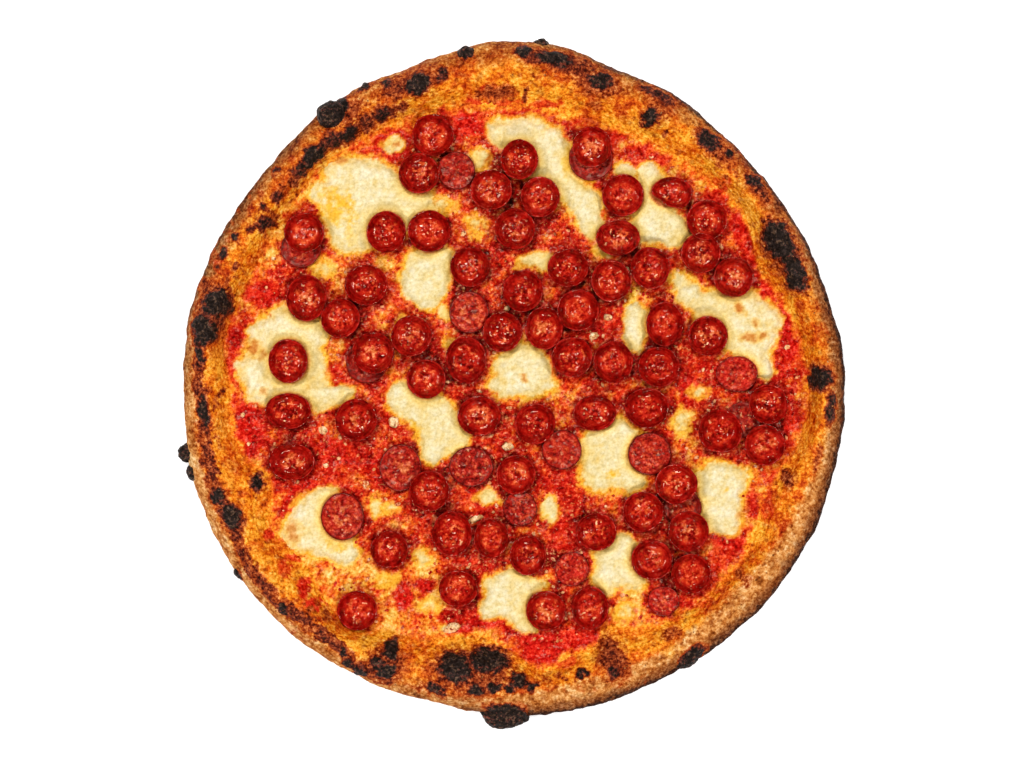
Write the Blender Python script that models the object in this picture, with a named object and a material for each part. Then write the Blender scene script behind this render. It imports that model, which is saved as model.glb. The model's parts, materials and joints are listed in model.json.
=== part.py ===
"""Whole round pepperoni pizza in the Neapolitan style, uncut, seen flat on its base.

Pieces: one baked crust with a puffed rim, one layer of tomato sauce in the hollow of the
crust, pools of melted cheese on the sauce, and cupped pepperoni slices on top. Slices that
lie on or against each other are baked together into one piece.

All sizes are in millimetres and become metres when a mesh is made. +Z is up, +Y is the
side of the pizza that is at the top when it is looked down on.
"""
import math
import random

import bmesh
import bpy
from mathutils import Matrix, Vector, noise
from mathutils.bvhtree import BVHTree
from mathutils.geometry import delaunay_2d_cdt

MM = 0.001
GAP = 0.35

# Crust: driving sizes
CENTRE = (2.0, 3.0)
RIM_RADIUS = 165.5
RECESS_RADIUS = 140.0
CREST_HEIGHT = 19.0
CREST_INSET = 12.0
BED_HEIGHT = 4.2
LIP_HEIGHT = 7.4
LIP_RUN = 1.5
CRUST_SIDES = 128
CRAG_DEPTH = 0.9
CRAG_SIZE = 15.0
FINE_CRAG_DEPTH = 0.45
FINE_CRAG_SIZE = 6.5
# Side of the rim from the foot up: distance in from the widest place, height
RIM_SIDE = [(13.0, 0.0), (5.5, 1.5), (1.4, 5.0), (0.0, 9.0)]
# Shoulder of the rim: distance in from the widest place, share of the crest height
RIM_SHOULDER = [(1.7, 0.70), (6.0, 0.90)]
# Inner slope: share of the way from the crest to the recess, share of the rise left
INNER_SLOPE = [(0.25, 0.90), (0.50, 0.64), (0.75, 0.27)]
# Height where the rim's side turns into its top, and the height over which it turns
TOP_START = 8.0
TOP_BLEND = 6.0
SMOOTH_ANGLE = 50.0

# Swellings of the rim: angle in degrees, half width in degrees, amount
RIM_SWELLS = [
    (42, 22, -5.6), (17, 11, -2.6), (72, 6, -2.6), (90, 12, 3.6), (108, 8, -1.2),
    (143, 14, -3.0), (171, 5, 1.0), (192, 8, 1.6), (203, 10, 2.0), (222, 20, 4.4),
    (242, 14, 2.0), (276, 18, 3.8), (320, 24, 3.4),
]
RECESS_SWELLS = [
    (0, 12, 6.0), (25, 6, -7.0), (38, 6, 2.0), (75, 28, -6.0), (130, 14, 3.0),
    (172, 8, 6.0), (188, 5, 4.0), (203, 5, -8.0), (213, 4, 3.0), (235, 7, 10.0),
    (262, 9, -10.0), (276, 4, 8.0), (291, 4, -9.0), (315, 18, 5.0), (335, 6, -4.0),
    (350, 8, 3.0),
]
CREST_SWELLS = [
    (25, 9, 2.4), (48, 7, -1.4), (62, 4, 1.0), (88, 6, 2.2), (107, 6, 1.8),
    (128, 9, -0.8), (148, 6, -1.6), (170, 7, 3.0), (187, 6, -1.2), (204, 6, 1.4),
    (222, 12, 1.8), (244, 4, 2.0), (262, 8, 3.2), (276, 4, -1.8), (288, 4, 1.6),
    (306, 12, -1.8), (340, 10, -1.2), (356, 6, 1.2),
]

# Puffs on the rim's top: angle in degrees, radius, half length round, half width, height
PUFFS = [
    (25, 149, 19, 11, 3.2), (49, 151, 6, 8, 1.6), (61.5, 147, 5, 13, 2.2),
    (73, 156, 7, 9, 1.8), (88, 158, 12, 9, 2.4), (107, 155, 11, 12, 2.6),
    (124, 148, 7, 7, 1.8), (132, 150, 12, 7, 2.2), (148.5, 149, 8, 7, 1.8),
    (168, 152, 15, 11, 3.2), (203, 158, 13, 9, 2.0), (202, 139, 5, 6, 1.4),
    (222, 161, 26, 7, 1.6), (245, 155, 6, 16, 2.4), (261, 149, 17, 15, 4.0),
    (287.5, 147, 7, 14, 2.8), (339, 146, 7, 7, 1.8), (354, 156, 10, 8, 2.0),
]

# Burst bubbles that stand out of the rim: angle, radius, height of the middle,
# then half length round, half width and half height
BUBBLES = [
    (125.0, 159.8, 15.5, 7.5, 7.0, 7.0),
    (268.2, 167.2, 9.2, 12.5, 8.6, 7.0),
    (192.9, 167.0, 8.0, 5.0, 6.8, 5.5),
    (196.4, 166.0, 8.5, 5.2, 5.6, 5.5),
    (85.6, 166.0, 10.5, 4.5, 4.5, 5.0),
    (301.5, 164.6, 11.0, 6.8, 4.2, 4.5),
    (215.2, 168.3, 10.0, 3.6, 3.4, 4.0),
    (98.6, 163.0, 15.0, 4.6, 4.4, 4.4),
]

LARGE_BUBBLE = 7.0

# Sauce
SAUCE_LEVEL = 6.7
SAUCE_EDGE_LEVEL = 6.3
SAUCE_SIDES = CRUST_SIDES // 2
SAUCE_GRID = 12.5
SAUCE_RIPPLE = 0.6
SAUCE_RIPPLE_SIZE = 17.0
# Crushed tomato lumps: place, half sizes, height
TOMATO_LUMPS = [
    (-133, -23, 11, 14, 1.5), (134, 26, 10, 12, 1.5), (19.5, -130, 26, 8, 1.4),
    (-54.5, -107, 9, 8, 1.7), (-43, -105, 8, 8, 1.4), (-103, -102, 7, 6, 1.3),
    (-23, 131, 9, 7, 1.3), (20, 134, 9, 7, 1.3), (112, 84, 12, 9, 1.3),
    (109.5, -79, 12, 11, 1.3), (-102, -52, 9, 7, 1.2), (90, -10, 9, 8, 1.2),
    (33, 98, 9, 8, 1.0), (-86, -42, 10, 12, 1.2), (60, -108, 12, 8, 1.4),
]

# Cheese pools: each is a few round blobs that run together (place, radius)
CHEESE_POOLS = [
    [(-83, 103, 11), (-69.5, 99.5, 12), (-55.5, 92, 11), (-48, 89.5, 8), (-80.5, 89.5, 13),
     (-80.5, 74.5, 9), (-63, 79, 8)],
    [(-7, 126, 6), (4.5, 126, 8), (17, 123, 8), (23.5, 114.5, 7.5), (23, 102, 6.5),
     (8, 112, 8), (31, 97, 7), (39, 89, 7), (40.5, 79, 6)],
    [(-43, 57, 11), (-40.5, 44.5, 7), (-48, 49.5, 5.5), (-35.5, 61, 6)],
    [(-113, 29.5, 10), (-124.5, 24.5, 7), (-130.5, 9.5, 7), (-126.5, -2, 7),
     (-110.5, -5.5, 7), (-95.5, -5.5, 7), (-84.5, -4.5, 4.5), (-99, 9.5, 6),
     (-99.5, 24.5, 7), (-112, 11, 10)],
    [(69.5, 104.5, 6), (72, 92, 8), (77, 79.5, 9), (67, 79.5, 7), (57, 108, 4),
     (84.5, 74.5, 5)],
    [(102, 37, 9), (117, 38, 9), (128.5, 32, 7), (114.5, 24.5, 7), (127, 22, 6),
     (119.5, 13, 6), (127, 8, 5), (89.5, 46, 6), (103, 27, 8)],
    [(4.5, 9.5, 11), (12, 4.5, 9), (-3, -0.5, 7)],
    [(-48, -10.5, 10), (-35.5, -18, 10), (-35.5, -28, 8), (-55.5, -7, 6),
     (-25.5, -28, 4.5), (-40.5, -35.5, 4.5)],
    [(49.5, -30.5, 12), (47, -43, 11), (62, -48, 6), (57, -28, 6)],
    [(102, -48, 9), (112, -48, 7), (104.5, -60.5, 8), (109.5, -69, 7), (99.5, -70.5, 4)],
    [(-99.5, -65.5, 10), (-105.5, -75.5, 8), (-93, -80.5, 7), (-83, -85.5, 6),
     (-93, -58, 5), (-87, -70, 9)],
    [(-3, -105.5, 10), (2, -103, 8), (4.5, -117, 5.5), (-9.5, -112, 5), (8.5, -121, 3)],
    [(52, -88, 9), (47, -99, 6), (62, -95.5, 6), (57, -80.5, 5)],
    [(63, 29.5, 5.5), (62.5, 37, 4.5), (62.5, 21, 4.5)],
]
CHEESE_SIDES = 14
CHEESE_HEIGHT = 1.4
CHEESE_EDGE = 0.5
CHEESE_CLEAR_OF_RIM = 3.5

# Pepperoni slices: place and half sizes. A cup has curled walls, a flat one lies sunk
# or under others, and a fold is a narrow one with its sides drawn together.
CUP = "cup"
FLAT = "flat"
FOLD = "fold"
SLICES = {
    1: (-39.0, 124.5, 10.5, 10.5, CUP), 2: (-46.0, 105.5, 10.2, 10.2, CUP),
    3: (-27.5, 107.0, 9.5, 9.5, CUP), 4: (-10.0, 97.0, 10.5, 10.0, CUP),
    5: (4.0, 112.0, 9.4, 10.0, CUP), 6: (14.5, 93.5, 9.8, 10.2, CUP),
    7: (2.0, 77.5, 10.2, 10.2, CUP), 8: (40.5, 118.5, 9.8, 10.2, CUP),
    9: (40.0, 113.0, 11.0, 11.0, FLAT), 10: (56.0, 94.5, 10.5, 10.5, CUP),
    11: (80.5, 96.0, 10.5, 7.5, FOLD), 12: (98.0, 82.0, 10.2, 10.2, CUP),
    13: (95.0, 65.5, 10.0, 10.0, CUP), 14: (111.5, 53.5, 10.2, 10.0, CUP),
    15: (-103.5, 75.5, 10.0, 10.0, CUP), 16: (-105.5, 68.0, 10.0, 9.5, FLAT),
    17: (-62.5, 76.0, 9.8, 10.5, CUP), 18: (-41.0, 76.5, 10.8, 10.5, CUP),
    19: (-20.5, 58.5, 10.0, 10.0, CUP), 20: (-102.5, 43.0, 10.2, 11.5, CUP),
    21: (-85.5, 33.0, 9.8, 9.8, CUP), 22: (-72.5, 49.5, 10.8, 10.2, CUP),
    23: (-50.0, 24.0, 10.2, 10.2, CUP), 24: (-69.0, 15.5, 10.5, 10.5, CUP),
    25: (-72.5, 11.0, 10.5, 10.5, FLAT), 26: (-111.5, 11.5, 9.8, 11.0, CUP),
    27: (-42.5, 2.5, 9.8, 9.8, CUP), 28: (-21.0, 36.0, 10.0, 10.5, CUP),
    29: (6.0, 46.5, 10.2, 10.5, CUP), 30: (28.5, 58.0, 10.2, 9.5, CUP),
    31: (33.5, 37.0, 10.5, 10.5, CUP), 32: (-4.5, 26.0, 10.0, 10.0, CUP),
    33: (16.5, 28.0, 9.5, 10.8, CUP), 34: (30.5, 13.5, 10.2, 10.2, CUP),
    35: (-22.5, 12.0, 10.2, 12.0, CUP), 36: (50.0, 51.5, 10.0, 10.5, CUP),
    37: (51.0, 11.0, 10.0, 10.5, CUP), 38: (53.5, 73.0, 11.0, 9.0, CUP),
    39: (69.5, 58.0, 9.8, 10.5, CUP), 40: (77.0, 30.0, 9.5, 11.0, CUP),
    41: (98.5, 24.0, 10.0, 10.0, CUP), 42: (74.0, 8.5, 10.5, 10.0, CUP),
    43: (113.5, 5.0, 10.5, 9.0, FLAT), 44: (-111.5, -13.5, 11.5, 9.0, CUP),
    45: (-77.5, -18.0, 10.5, 10.5, CUP), 46: (-110.0, -39.0, 11.8, 9.2, CUP),
    47: (-55.5, -42.0, 10.5, 11.8, CUP), 48: (-41.0, -53.5, 10.2, 10.2, CUP),
    49: (-84.5, -66.5, 10.8, 12.0, CUP), 50: (-16.0, -16.0, 10.8, 10.0, CUP),
    51: (12.0, -20.0, 10.2, 10.2, CUP), 52: (42.0, -14.5, 10.8, 9.0, CUP),
    53: (25.5, -33.0, 10.0, 10.0, CUP), 54: (-20.0, -41.5, 11.0, 10.0, CUP),
    55: (2.5, -45.5, 9.8, 9.8, CUP), 56: (4.5, -62.5, 8.5, 9.0, CUP),
    57: (68.0, -12.0, 11.2, 10.0, CUP), 58: (104.5, -23.5, 11.0, 11.0, CUP),
    59: (128.5, -10.0, 9.8, 10.0, CUP), 60: (127.0, -30.5, 10.2, 10.2, CUP),
    61: (69.5, -35.0, 10.8, 10.8, CUP), 62: (82.5, -50.0, 10.8, 10.0, CUP),
    63: (66.0, -64.0, 10.2, 10.2, CUP), 64: (88.5, -73.5, 10.2, 10.2, CUP),
    65: (70.5, -88.0, 10.5, 10.0, CUP), 66: (90.0, -95.0, 10.0, 10.0, CUP),
    67: (76.5, -109.0, 8.0, 7.5, FLAT), 68: (-61.0, -83.0, 9.5, 9.5, CUP),
    69: (-77.0, -113.5, 10.0, 10.0, CUP), 70: (-29.5, -75.0, 10.0, 11.5, CUP),
    71: (-10.0, -77.0, 8.5, 10.2, CUP), 72: (8.5, -86.0, 9.2, 10.0, CUP),
    73: (-26.5, -102.5, 9.8, 9.2, CUP), 74: (17.5, -113.5, 10.0, 10.0, CUP),
    75: (39.5, -112.0, 9.5, 11.0, CUP), 76: (42.5, -74.0, 10.2, 9.5, CUP),
    77: (30.5, -93.0, 8.5, 8.5, FLAT), 78: (86.0, -62.0, 9.5, 9.5, FLAT),
    79: (116.5, -18.0, 9.0, 9.0, FLAT),
}
# Slices that are baked together. In each, an earlier one lies under a later one.
CLUSTERS = [
    (3, 2, 1, 7, 6, 5, 4), (9, 8), (14, 13, 12), (16, 15), (17, 18), (20, 21, 22),
    (25, 24, 23), (28, 32), (29, 31, 33, 34, 37, 36, 39), (40, 42),
    (78, 61, 62, 63, 64), (65, 66), (47, 48), (55, 56), (53, 51), (70, 71),
    (79, 58, 59, 60),
]
CONTACT_OVERLAP = 2.0
CLEAR_BETWEEN = 0.6
PLAN_STEPS = 80
SLICE_SIDES = 11
SLICE_THICKNESS = 1.5
FLAT_THICKNESS = 2.0
WALL_THICKNESS = 1.1
CUP_DEPTH = 5.2
CUP_DEPTH_SPREAD = 0.5
FLOOR_SHARE = 0.72
CUP_TILT = 3.0
OUTLINE_SPREAD = 0.025
SINK_INTO_BELOW = 0.6
UNDERSIDE_SPLITS = 4
UNDERSIDE_STEPS = 8
SEED = 41
MERGE_DISTANCE = 0.01


def swell(angle, base, swells):
    """Base value at an angle plus every swelling near it."""
    total = base
    for centre, half_width, amount in swells:
        away = (angle - centre + 180.0) % 360.0 - 180.0
        total += amount * math.exp(-(away / half_width) ** 2)
    return total


def rim_radius(angle):
    return swell(angle, RIM_RADIUS, RIM_SWELLS)


def recess_radius(angle):
    return swell(angle, RECESS_RADIUS, RECESS_SWELLS)


def polar(angle, radius):
    """Place in the plan at an angle and radius about the middle of the crust."""
    turn = math.radians(angle)
    return CENTRE[0] + radius * math.cos(turn), CENTRE[1] + radius * math.sin(turn)


def puff_height(angle, radius):
    """Height that the puffs add to the rim at a place."""
    total = 0.0
    for puff_angle, puff_radius, half_length, half_width, height in PUFFS:
        round_way = math.radians((angle - puff_angle + 180.0) % 360.0 - 180.0) * puff_radius
        spread = (round_way / half_length) ** 2 + ((radius - puff_radius) / half_width) ** 2
        total += height * math.exp(-1.6 * spread)
    return total


def crust_profile(angle):
    """Radius and height of the crust from the foot over the rim to the bed."""
    outer = rim_radius(angle)
    inner = recess_radius(angle)
    crest = swell(angle, CREST_HEIGHT, CREST_SWELLS)
    crest_radius = outer - CREST_INSET
    slope = crest_radius - inner
    rise = crest - LIP_HEIGHT
    profile = [(outer - inset, height) for inset, height in RIM_SIDE]
    profile += [(outer - inset, share * crest) for inset, share in RIM_SHOULDER]
    profile.append((crest_radius, crest))
    for way, share in INNER_SLOPE:
        profile.append((crest_radius - way * slope, LIP_HEIGHT + share * rise))
    profile.append((inner, LIP_HEIGHT))
    profile.append((inner - LIP_RUN, BED_HEIGHT))
    return profile


def crust_point(angle, station, radius, height, last):
    """Point on the rim with its puffs and crags; the foot and the bed stay flat."""
    if 0 < station < last - 1:
        x, y = polar(angle, radius)
        place = Vector((x, y, 1.5 * height))
        crag = CRAG_DEPTH * noise.noise(place / CRAG_SIZE)
        crag += FINE_CRAG_DEPTH * noise.noise(place / FINE_CRAG_SIZE)
        upper = min(1.0, max(0.0, (height - TOP_START) / TOP_BLEND))
        height += upper * puff_height(angle, radius) + (0.4 + 0.6 * upper) * crag
        radius += (1.0 - 0.6 * upper) * crag
    x, y = polar(angle, radius)
    return Vector((x, y, height)) * MM


def new_object(name, mesh_data, material):
    mesh = bpy.data.meshes.new(name)
    mesh_data.to_mesh(mesh)
    mesh_data.free()
    mesh.materials.append(material)
    mesh.shade_smooth()
    mesh.set_sharp_from_angle(angle=math.radians(SMOOTH_ANGLE))
    made = bpy.data.objects.new(name, mesh)
    bpy.context.scene.collection.objects.link(made)
    return made


def fuse(base, others):
    """Join solids to the base with one Boolean union and remove them."""
    group = bpy.data.collections.new(base.name + "_fused")
    for other in others:
        group.objects.link(other)
    union = base.modifiers.new("union", "BOOLEAN")
    union.operation = "UNION"
    union.solver = "EXACT"
    union.operand_type = "COLLECTION"
    union.collection = group
    bpy.context.view_layer.update()
    evaluated = base.evaluated_get(bpy.context.evaluated_depsgraph_get())
    joined = bmesh.new()
    joined.from_mesh(evaluated.to_mesh())
    evaluated.to_mesh_clear()
    base.modifiers.remove(union)
    bmesh.ops.remove_doubles(joined, verts=joined.verts, dist=MERGE_DISTANCE * MM)
    bmesh.ops.dissolve_degenerate(joined, edges=joined.edges, dist=MERGE_DISTANCE * MM)
    bmesh.ops.triangulate(joined, faces=joined.faces)
    joined.to_mesh(base.data)
    joined.free()
    for other in others:
        bpy.data.objects.remove(other, do_unlink=True)
    bpy.data.collections.remove(group)
    base.data.shade_smooth()
    base.data.set_sharp_from_angle(angle=math.radians(SMOOTH_ANGLE))


def food_material(name, colour, roughness):
    material = bpy.data.materials.new(name)
    material.use_nodes = True
    shader = material.node_tree.nodes["Principled BSDF"]
    shader.inputs["Base Color"].default_value = (*colour, 1.0)
    shader.inputs["Roughness"].default_value = roughness
    shader.inputs["Metallic"].default_value = 0.0
    return material


def bridge_rings(shape, rings):
    """Quads between each ring of points and the next, all with the same count."""
    for lower, upper in zip(rings, rings[1:]):
        count = len(lower)
        for i in range(count):
            j = (i + 1) % count
            shape.faces.new((lower[i], lower[j], upper[j], upper[i]))


def make_crust(material):
    """Flat foot, undercut side, puffed rim, inner slope and the bed for the sauce."""
    shape = bmesh.new()
    columns = []
    for i in range(CRUST_SIDES):
        angle = 360.0 * i / CRUST_SIDES
        profile = crust_profile(angle)
        last = len(profile) - 1
        column = []
        for station, (radius, height) in enumerate(profile):
            point = crust_point(angle, station, radius, height, last)
            column.append(shape.verts.new(point))
        columns.append(column)
    rings = list(zip(*columns))
    bridge_rings(shape, rings)
    shape.faces.new(reversed(rings[0]))
    shape.faces.new(rings[-1])
    bmesh.ops.triangulate(shape, faces=shape.faces)
    bmesh.ops.recalc_face_normals(shape, faces=shape.faces)
    crust = new_object("crust", shape, material)
    blisters = []
    for number, bubble in enumerate(BUBBLES):
        blisters.append(make_bubble("bubble_%d" % number, bubble, material))
    fuse(crust, blisters)
    return crust


def make_bubble(name, bubble, material):
    """Egg-shaped blister, long way round the rim, dented by crags."""
    angle, radius, height, half_length, half_width, half_height = bubble
    shape = bmesh.new()
    splits = 2 if half_length > LARGE_BUBBLE else 1
    bmesh.ops.create_icosphere(shape, subdivisions=splits, radius=1.0)
    x, y = polar(angle, radius)
    turn = Matrix.Rotation(math.radians(angle), 4, "Z")
    for vert in shape.verts:
        dent = 1.0 + 0.16 * noise.noise(vert.co * 1.4 + Vector((angle, 0.0, 0.0)))
        size = Vector((half_width, half_length, half_height)) * dent
        local = Vector((vert.co.x * size.x, vert.co.y * size.y, vert.co.z * size.z))
        vert.co = (turn @ local + Vector((x, y, height))) * MM
    bmesh.ops.triangulate(shape, faces=shape.faces)
    return new_object(name, shape, material)


def cheese_strength(x, y, pool):
    """1 at the edge of a pool and more inside it."""
    total = 0.0
    for blob_x, blob_y, radius in pool:
        away = ((x - blob_x) ** 2 + (y - blob_y) ** 2) / radius ** 2
        total += math.exp(1.0 - away)
    return total


def sauce_edge(angle):
    """Sauce radius at an angle, clear of the crust also between two of its corners."""
    step = 360.0 / CRUST_SIDES
    around = [recess_radius(angle + k * step) for k in (-2, -1, 0, 1, 2)]
    return min(around)


def sauce_height(x, y):
    """Sauce surface: level under cheese, rippled and lumpy where it is open."""
    covered = max(cheese_strength(x, y, pool) for pool in CHEESE_POOLS)
    is_open = 1.0 - min(1.0, covered)
    ripple = noise.noise(Vector((x, y, 7.0)) / SAUCE_RIPPLE_SIZE)
    height = SAUCE_LEVEL + SAUCE_RIPPLE * ripple * is_open
    for lump_x, lump_y, half_x, half_y, lump in TOMATO_LUMPS:
        away = ((x - lump_x) / half_x) ** 2 + ((y - lump_y) / half_y) ** 2
        height += lump * math.exp(-1.5 * away) * is_open
    return height


def make_sauce(material):
    """Thin layer of sauce that lies in the hollow of the crust."""
    top_ring = []
    low_ring = []
    for i in range(SAUCE_SIDES):
        angle = 360.0 * i / SAUCE_SIDES
        edge = sauce_edge(angle)
        top_ring.append(Vector(polar(angle, edge - 1.0)))
        low_ring.append(Vector(polar(angle, edge - LIP_RUN - 0.6)))
    inside = []
    rows = int(2 * RIM_RADIUS / (SAUCE_GRID * 0.866))
    for row in range(rows):
        for column in range(rows):
            x = (column + 0.5 * (row % 2)) * SAUCE_GRID - RIM_RADIUS
            y = row * SAUCE_GRID * 0.866 - RIM_RADIUS
            angle = math.degrees(math.atan2(y, x))
            if math.hypot(x, y) < sauce_edge(angle) - 0.75 * SAUCE_GRID:
                inside.append(Vector((x + CENTRE[0], y + CENTRE[1])))
    points = top_ring + inside
    count = len(top_ring)
    edges = [(i, (i + 1) % count) for i in range(count)]
    flat, _, faces, _, _, _ = delaunay_2d_cdt(points, edges, [], 1, 1e-6)
    shape = bmesh.new()
    top = []
    for i, place in enumerate(flat):
        height = SAUCE_EDGE_LEVEL if i < count else sauce_height(place.x, place.y)
        top.append(shape.verts.new(Vector((place.x, place.y, height)) * MM))
    for face in faces:
        shape.faces.new([top[i] for i in face])
    floor = BED_HEIGHT + GAP
    low = [shape.verts.new(Vector((p.x, p.y, floor)) * MM) for p in low_ring]
    bridge_rings(shape, [low, top[:count]])
    shape.faces.new(reversed(low))
    bmesh.ops.triangulate(shape, faces=shape.faces)
    bmesh.ops.recalc_face_normals(shape, faces=shape.faces)
    return new_object("sauce", shape, material)


def surface_tree(objects):
    """Search tree over the surfaces of some solids."""
    joined = bmesh.new()
    for thing in objects:
        joined.from_mesh(thing.data)
    tree = BVHTree.FromBMesh(joined)
    joined.free()
    return tree


def height_below(tree, x, y):
    """Highest surface at a place in the plan, in millimetres."""
    hit, _, _, _ = tree.ray_cast(Vector((x, y, 100.0)) * MM, Vector((0.0, 0.0, -1.0)))
    return 0.0 if hit is None else hit.z / MM


def pool_outline(pool):
    """Middle and edge points of a cheese pool, found by walking out from its middle."""
    weight = sum(radius ** 2 for _, _, radius in pool)
    middle_x = sum(x * radius ** 2 for x, _, radius in pool) / weight
    middle_y = sum(y * radius ** 2 for _, y, radius in pool) / weight
    edge = []
    for i in range(CHEESE_SIDES):
        turn = 2.0 * math.pi * i / CHEESE_SIDES
        reach = 3.0
        while cheese_strength(middle_x + reach * math.cos(turn),
                              middle_y + reach * math.sin(turn), pool) > 1.0:
            reach += 0.25
        reach += 1.3 * noise.noise(Vector((middle_x, middle_y, 2.2 * i)))
        x = middle_x + reach * math.cos(turn)
        y = middle_y + reach * math.sin(turn)
        from_centre = Vector((x - CENTRE[0], y - CENTRE[1]))
        angle = math.degrees(math.atan2(from_centre.y, from_centre.x))
        most = sauce_edge(angle) - CHEESE_CLEAR_OF_RIM
        if from_centre.length > most:
            from_centre *= most / from_centre.length
        edge.append(Vector((from_centre.x + CENTRE[0], from_centre.y + CENTRE[1])))
    return Vector((middle_x, middle_y)), edge


def make_cheese(name, pool, material, below):
    """Low melted pool with a soft edge, lying on the sauce."""
    middle, edge = pool_outline(pool)
    samples = [middle.lerp(point, share) for point in edge for share in (0.0, 0.35, 0.7, 1.0)]
    for i, point in enumerate(edge):
        samples.append(point.lerp(edge[(i + 1) % len(edge)], 0.5))
    floor = max(height_below(below, p.x, p.y) for p in samples) + GAP + 0.15
    shape = bmesh.new()
    levels = [(1.0, 0.0), (1.0, CHEESE_EDGE), (0.72, 0.85 * CHEESE_HEIGHT)]
    rings = []
    for share, height in levels:
        ring = []
        for point in edge:
            place = middle.lerp(point, share)
            ring.append(shape.verts.new(Vector((place.x, place.y, floor + height)) * MM))
        rings.append(ring)
    bridge_rings(shape, rings)
    shape.faces.new(reversed(rings[0]))
    top = shape.verts.new(Vector((middle.x, middle.y, floor + CHEESE_HEIGHT)) * MM)
    for i, vert in enumerate(rings[-1]):
        shape.faces.new((vert, rings[-1][(i + 1) % CHEESE_SIDES], top))
    bmesh.ops.triangulate(shape, faces=shape.faces)
    bmesh.ops.recalc_face_normals(shape, faces=shape.faces)
    return new_object(name, shape, material)


def reach_towards(size, direction):
    """Distance from the middle of an oval slice to its edge in a direction."""
    half_x, half_y = size
    along = math.atan2(direction.y, direction.x)
    return half_x * half_y / math.hypot(half_y * math.cos(along), half_x * math.sin(along))


def lay_out_slices():
    """Plan of the slices: those that touch overlap enough to join, others keep a gap."""
    cluster_of = {}
    for number, cluster in enumerate(CLUSTERS):
        for key in cluster:
            cluster_of[key] = number
    places = {key: Vector(values[:2]) for key, values in SLICES.items()}
    keys = sorted(SLICES)
    for _ in range(PLAN_STEPS):
        for i, first in enumerate(keys):
            for second in keys[i + 1:]:
                between = places[second] - places[first]
                sizes = reach_towards(SLICES[first][2:4], between)
                sizes += reach_towards(SLICES[second][2:4], between)
                touching = between.length < sizes + 1.6
                if not touching:
                    continue
                together = cluster_of.get(first, -1) == cluster_of.get(second, -2)
                push = 0.0
                if together and between.length > sizes - CONTACT_OVERLAP:
                    push = sizes - CONTACT_OVERLAP - between.length
                if not together and between.length < sizes + CLEAR_BETWEEN:
                    push = sizes + CLEAR_BETWEEN - between.length
                shift = between.normalized() * 0.25 * push
                places[first] = places[first] - shift
                places[second] = places[second] + shift
    return places


def slice_rings(key, draw):
    """Rings of a slice about its own middle, from its underside round to its floor."""
    _, _, half_x, half_y, form = SLICES[key]
    wobble = [1.0 - OUTLINE_SPREAD * draw.random() for _ in range(SLICE_SIDES)]
    depth = CUP_DEPTH + CUP_DEPTH_SPREAD * draw.uniform(-1.0, 1.0)
    wall = WALL_THICKNESS / min(half_x, half_y)
    if form == FLAT:
        levels = [(0.93, 0.0), (1.0, FLAT_THICKNESS), (1.0 - wall, FLAT_THICKNESS)]
    elif form == FOLD:
        levels = [(FLOOR_SHARE - 0.10, 0.0), (1.0, depth), (1.0 - wall, depth),
                  (FLOOR_SHARE - 0.30, SLICE_THICKNESS + 0.5)]
    else:
        levels = [(FLOOR_SHARE, 0.0), (1.0, depth), (1.0 - wall, depth),
                  (FLOOR_SHARE - 0.12, SLICE_THICKNESS)]
    start = draw.uniform(0.0, 2.0 * math.pi)
    rings = []
    for share, height in levels:
        ring = []
        for i in range(SLICE_SIDES):
            turn = start + 2.0 * math.pi * i / SLICE_SIDES
            x = half_x * share * wobble[i] * math.cos(turn)
            y = half_y * share * wobble[i] * math.sin(turn)
            ring.append(Vector((x, y, height)))
        rings.append(ring)
    return rings


def underside_points(floor_ring, rim_ring):
    """Points spread over the floor and the wall of a slice's underside."""
    middle = sum(floor_ring, Vector()) / len(floor_ring)
    points = [middle]
    for i in range(UNDERSIDE_SPLITS * len(floor_ring)):
        first = i // UNDERSIDE_SPLITS
        second = (first + 1) % len(floor_ring)
        between = (i % UNDERSIDE_SPLITS) / UNDERSIDE_SPLITS
        floor = floor_ring[first].lerp(floor_ring[second], between)
        rim = rim_ring[first].lerp(rim_ring[second], between)
        for step in range(1, UNDERSIDE_STEPS + 1):
            points.append(middle.lerp(floor, step / UNDERSIDE_STEPS))
            points.append(floor.lerp(rim, step / UNDERSIDE_STEPS))
    return points


def make_slice(key, place, draw, material, below):
    """One slice, tilted a little and let down until it rests on what is below it."""
    rings = slice_rings(key, draw)
    lean = math.radians(CUP_TILT) if SLICES[key][4] != FLAT else 0.0
    tilt = Matrix.Rotation(lean * draw.uniform(-1.0, 1.0), 3, "X")
    tilt = tilt @ Matrix.Rotation(lean * draw.uniform(-1.0, 1.0), 3, "Y")
    rings = [[tilt @ point for point in ring] for ring in rings]
    under = underside_points(rings[0], rings[1])
    lift = -1000.0
    for point in under:
        needed = height_below(below, place.x + point.x, place.y + point.y) - point.z
        lift = max(lift, needed)
    origin = Vector((place.x, place.y, lift + GAP))
    shape = bmesh.new()
    verts = [[shape.verts.new((origin + point) * MM) for point in ring] for ring in rings]
    bridge_rings(shape, verts)
    shape.faces.new(reversed(verts[0]))
    shape.faces.new(verts[-1])
    bmesh.ops.triangulate(shape, faces=shape.faces)
    bmesh.ops.recalc_face_normals(shape, faces=shape.faces)
    return new_object("slice_%d" % key, shape, material)


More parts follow.
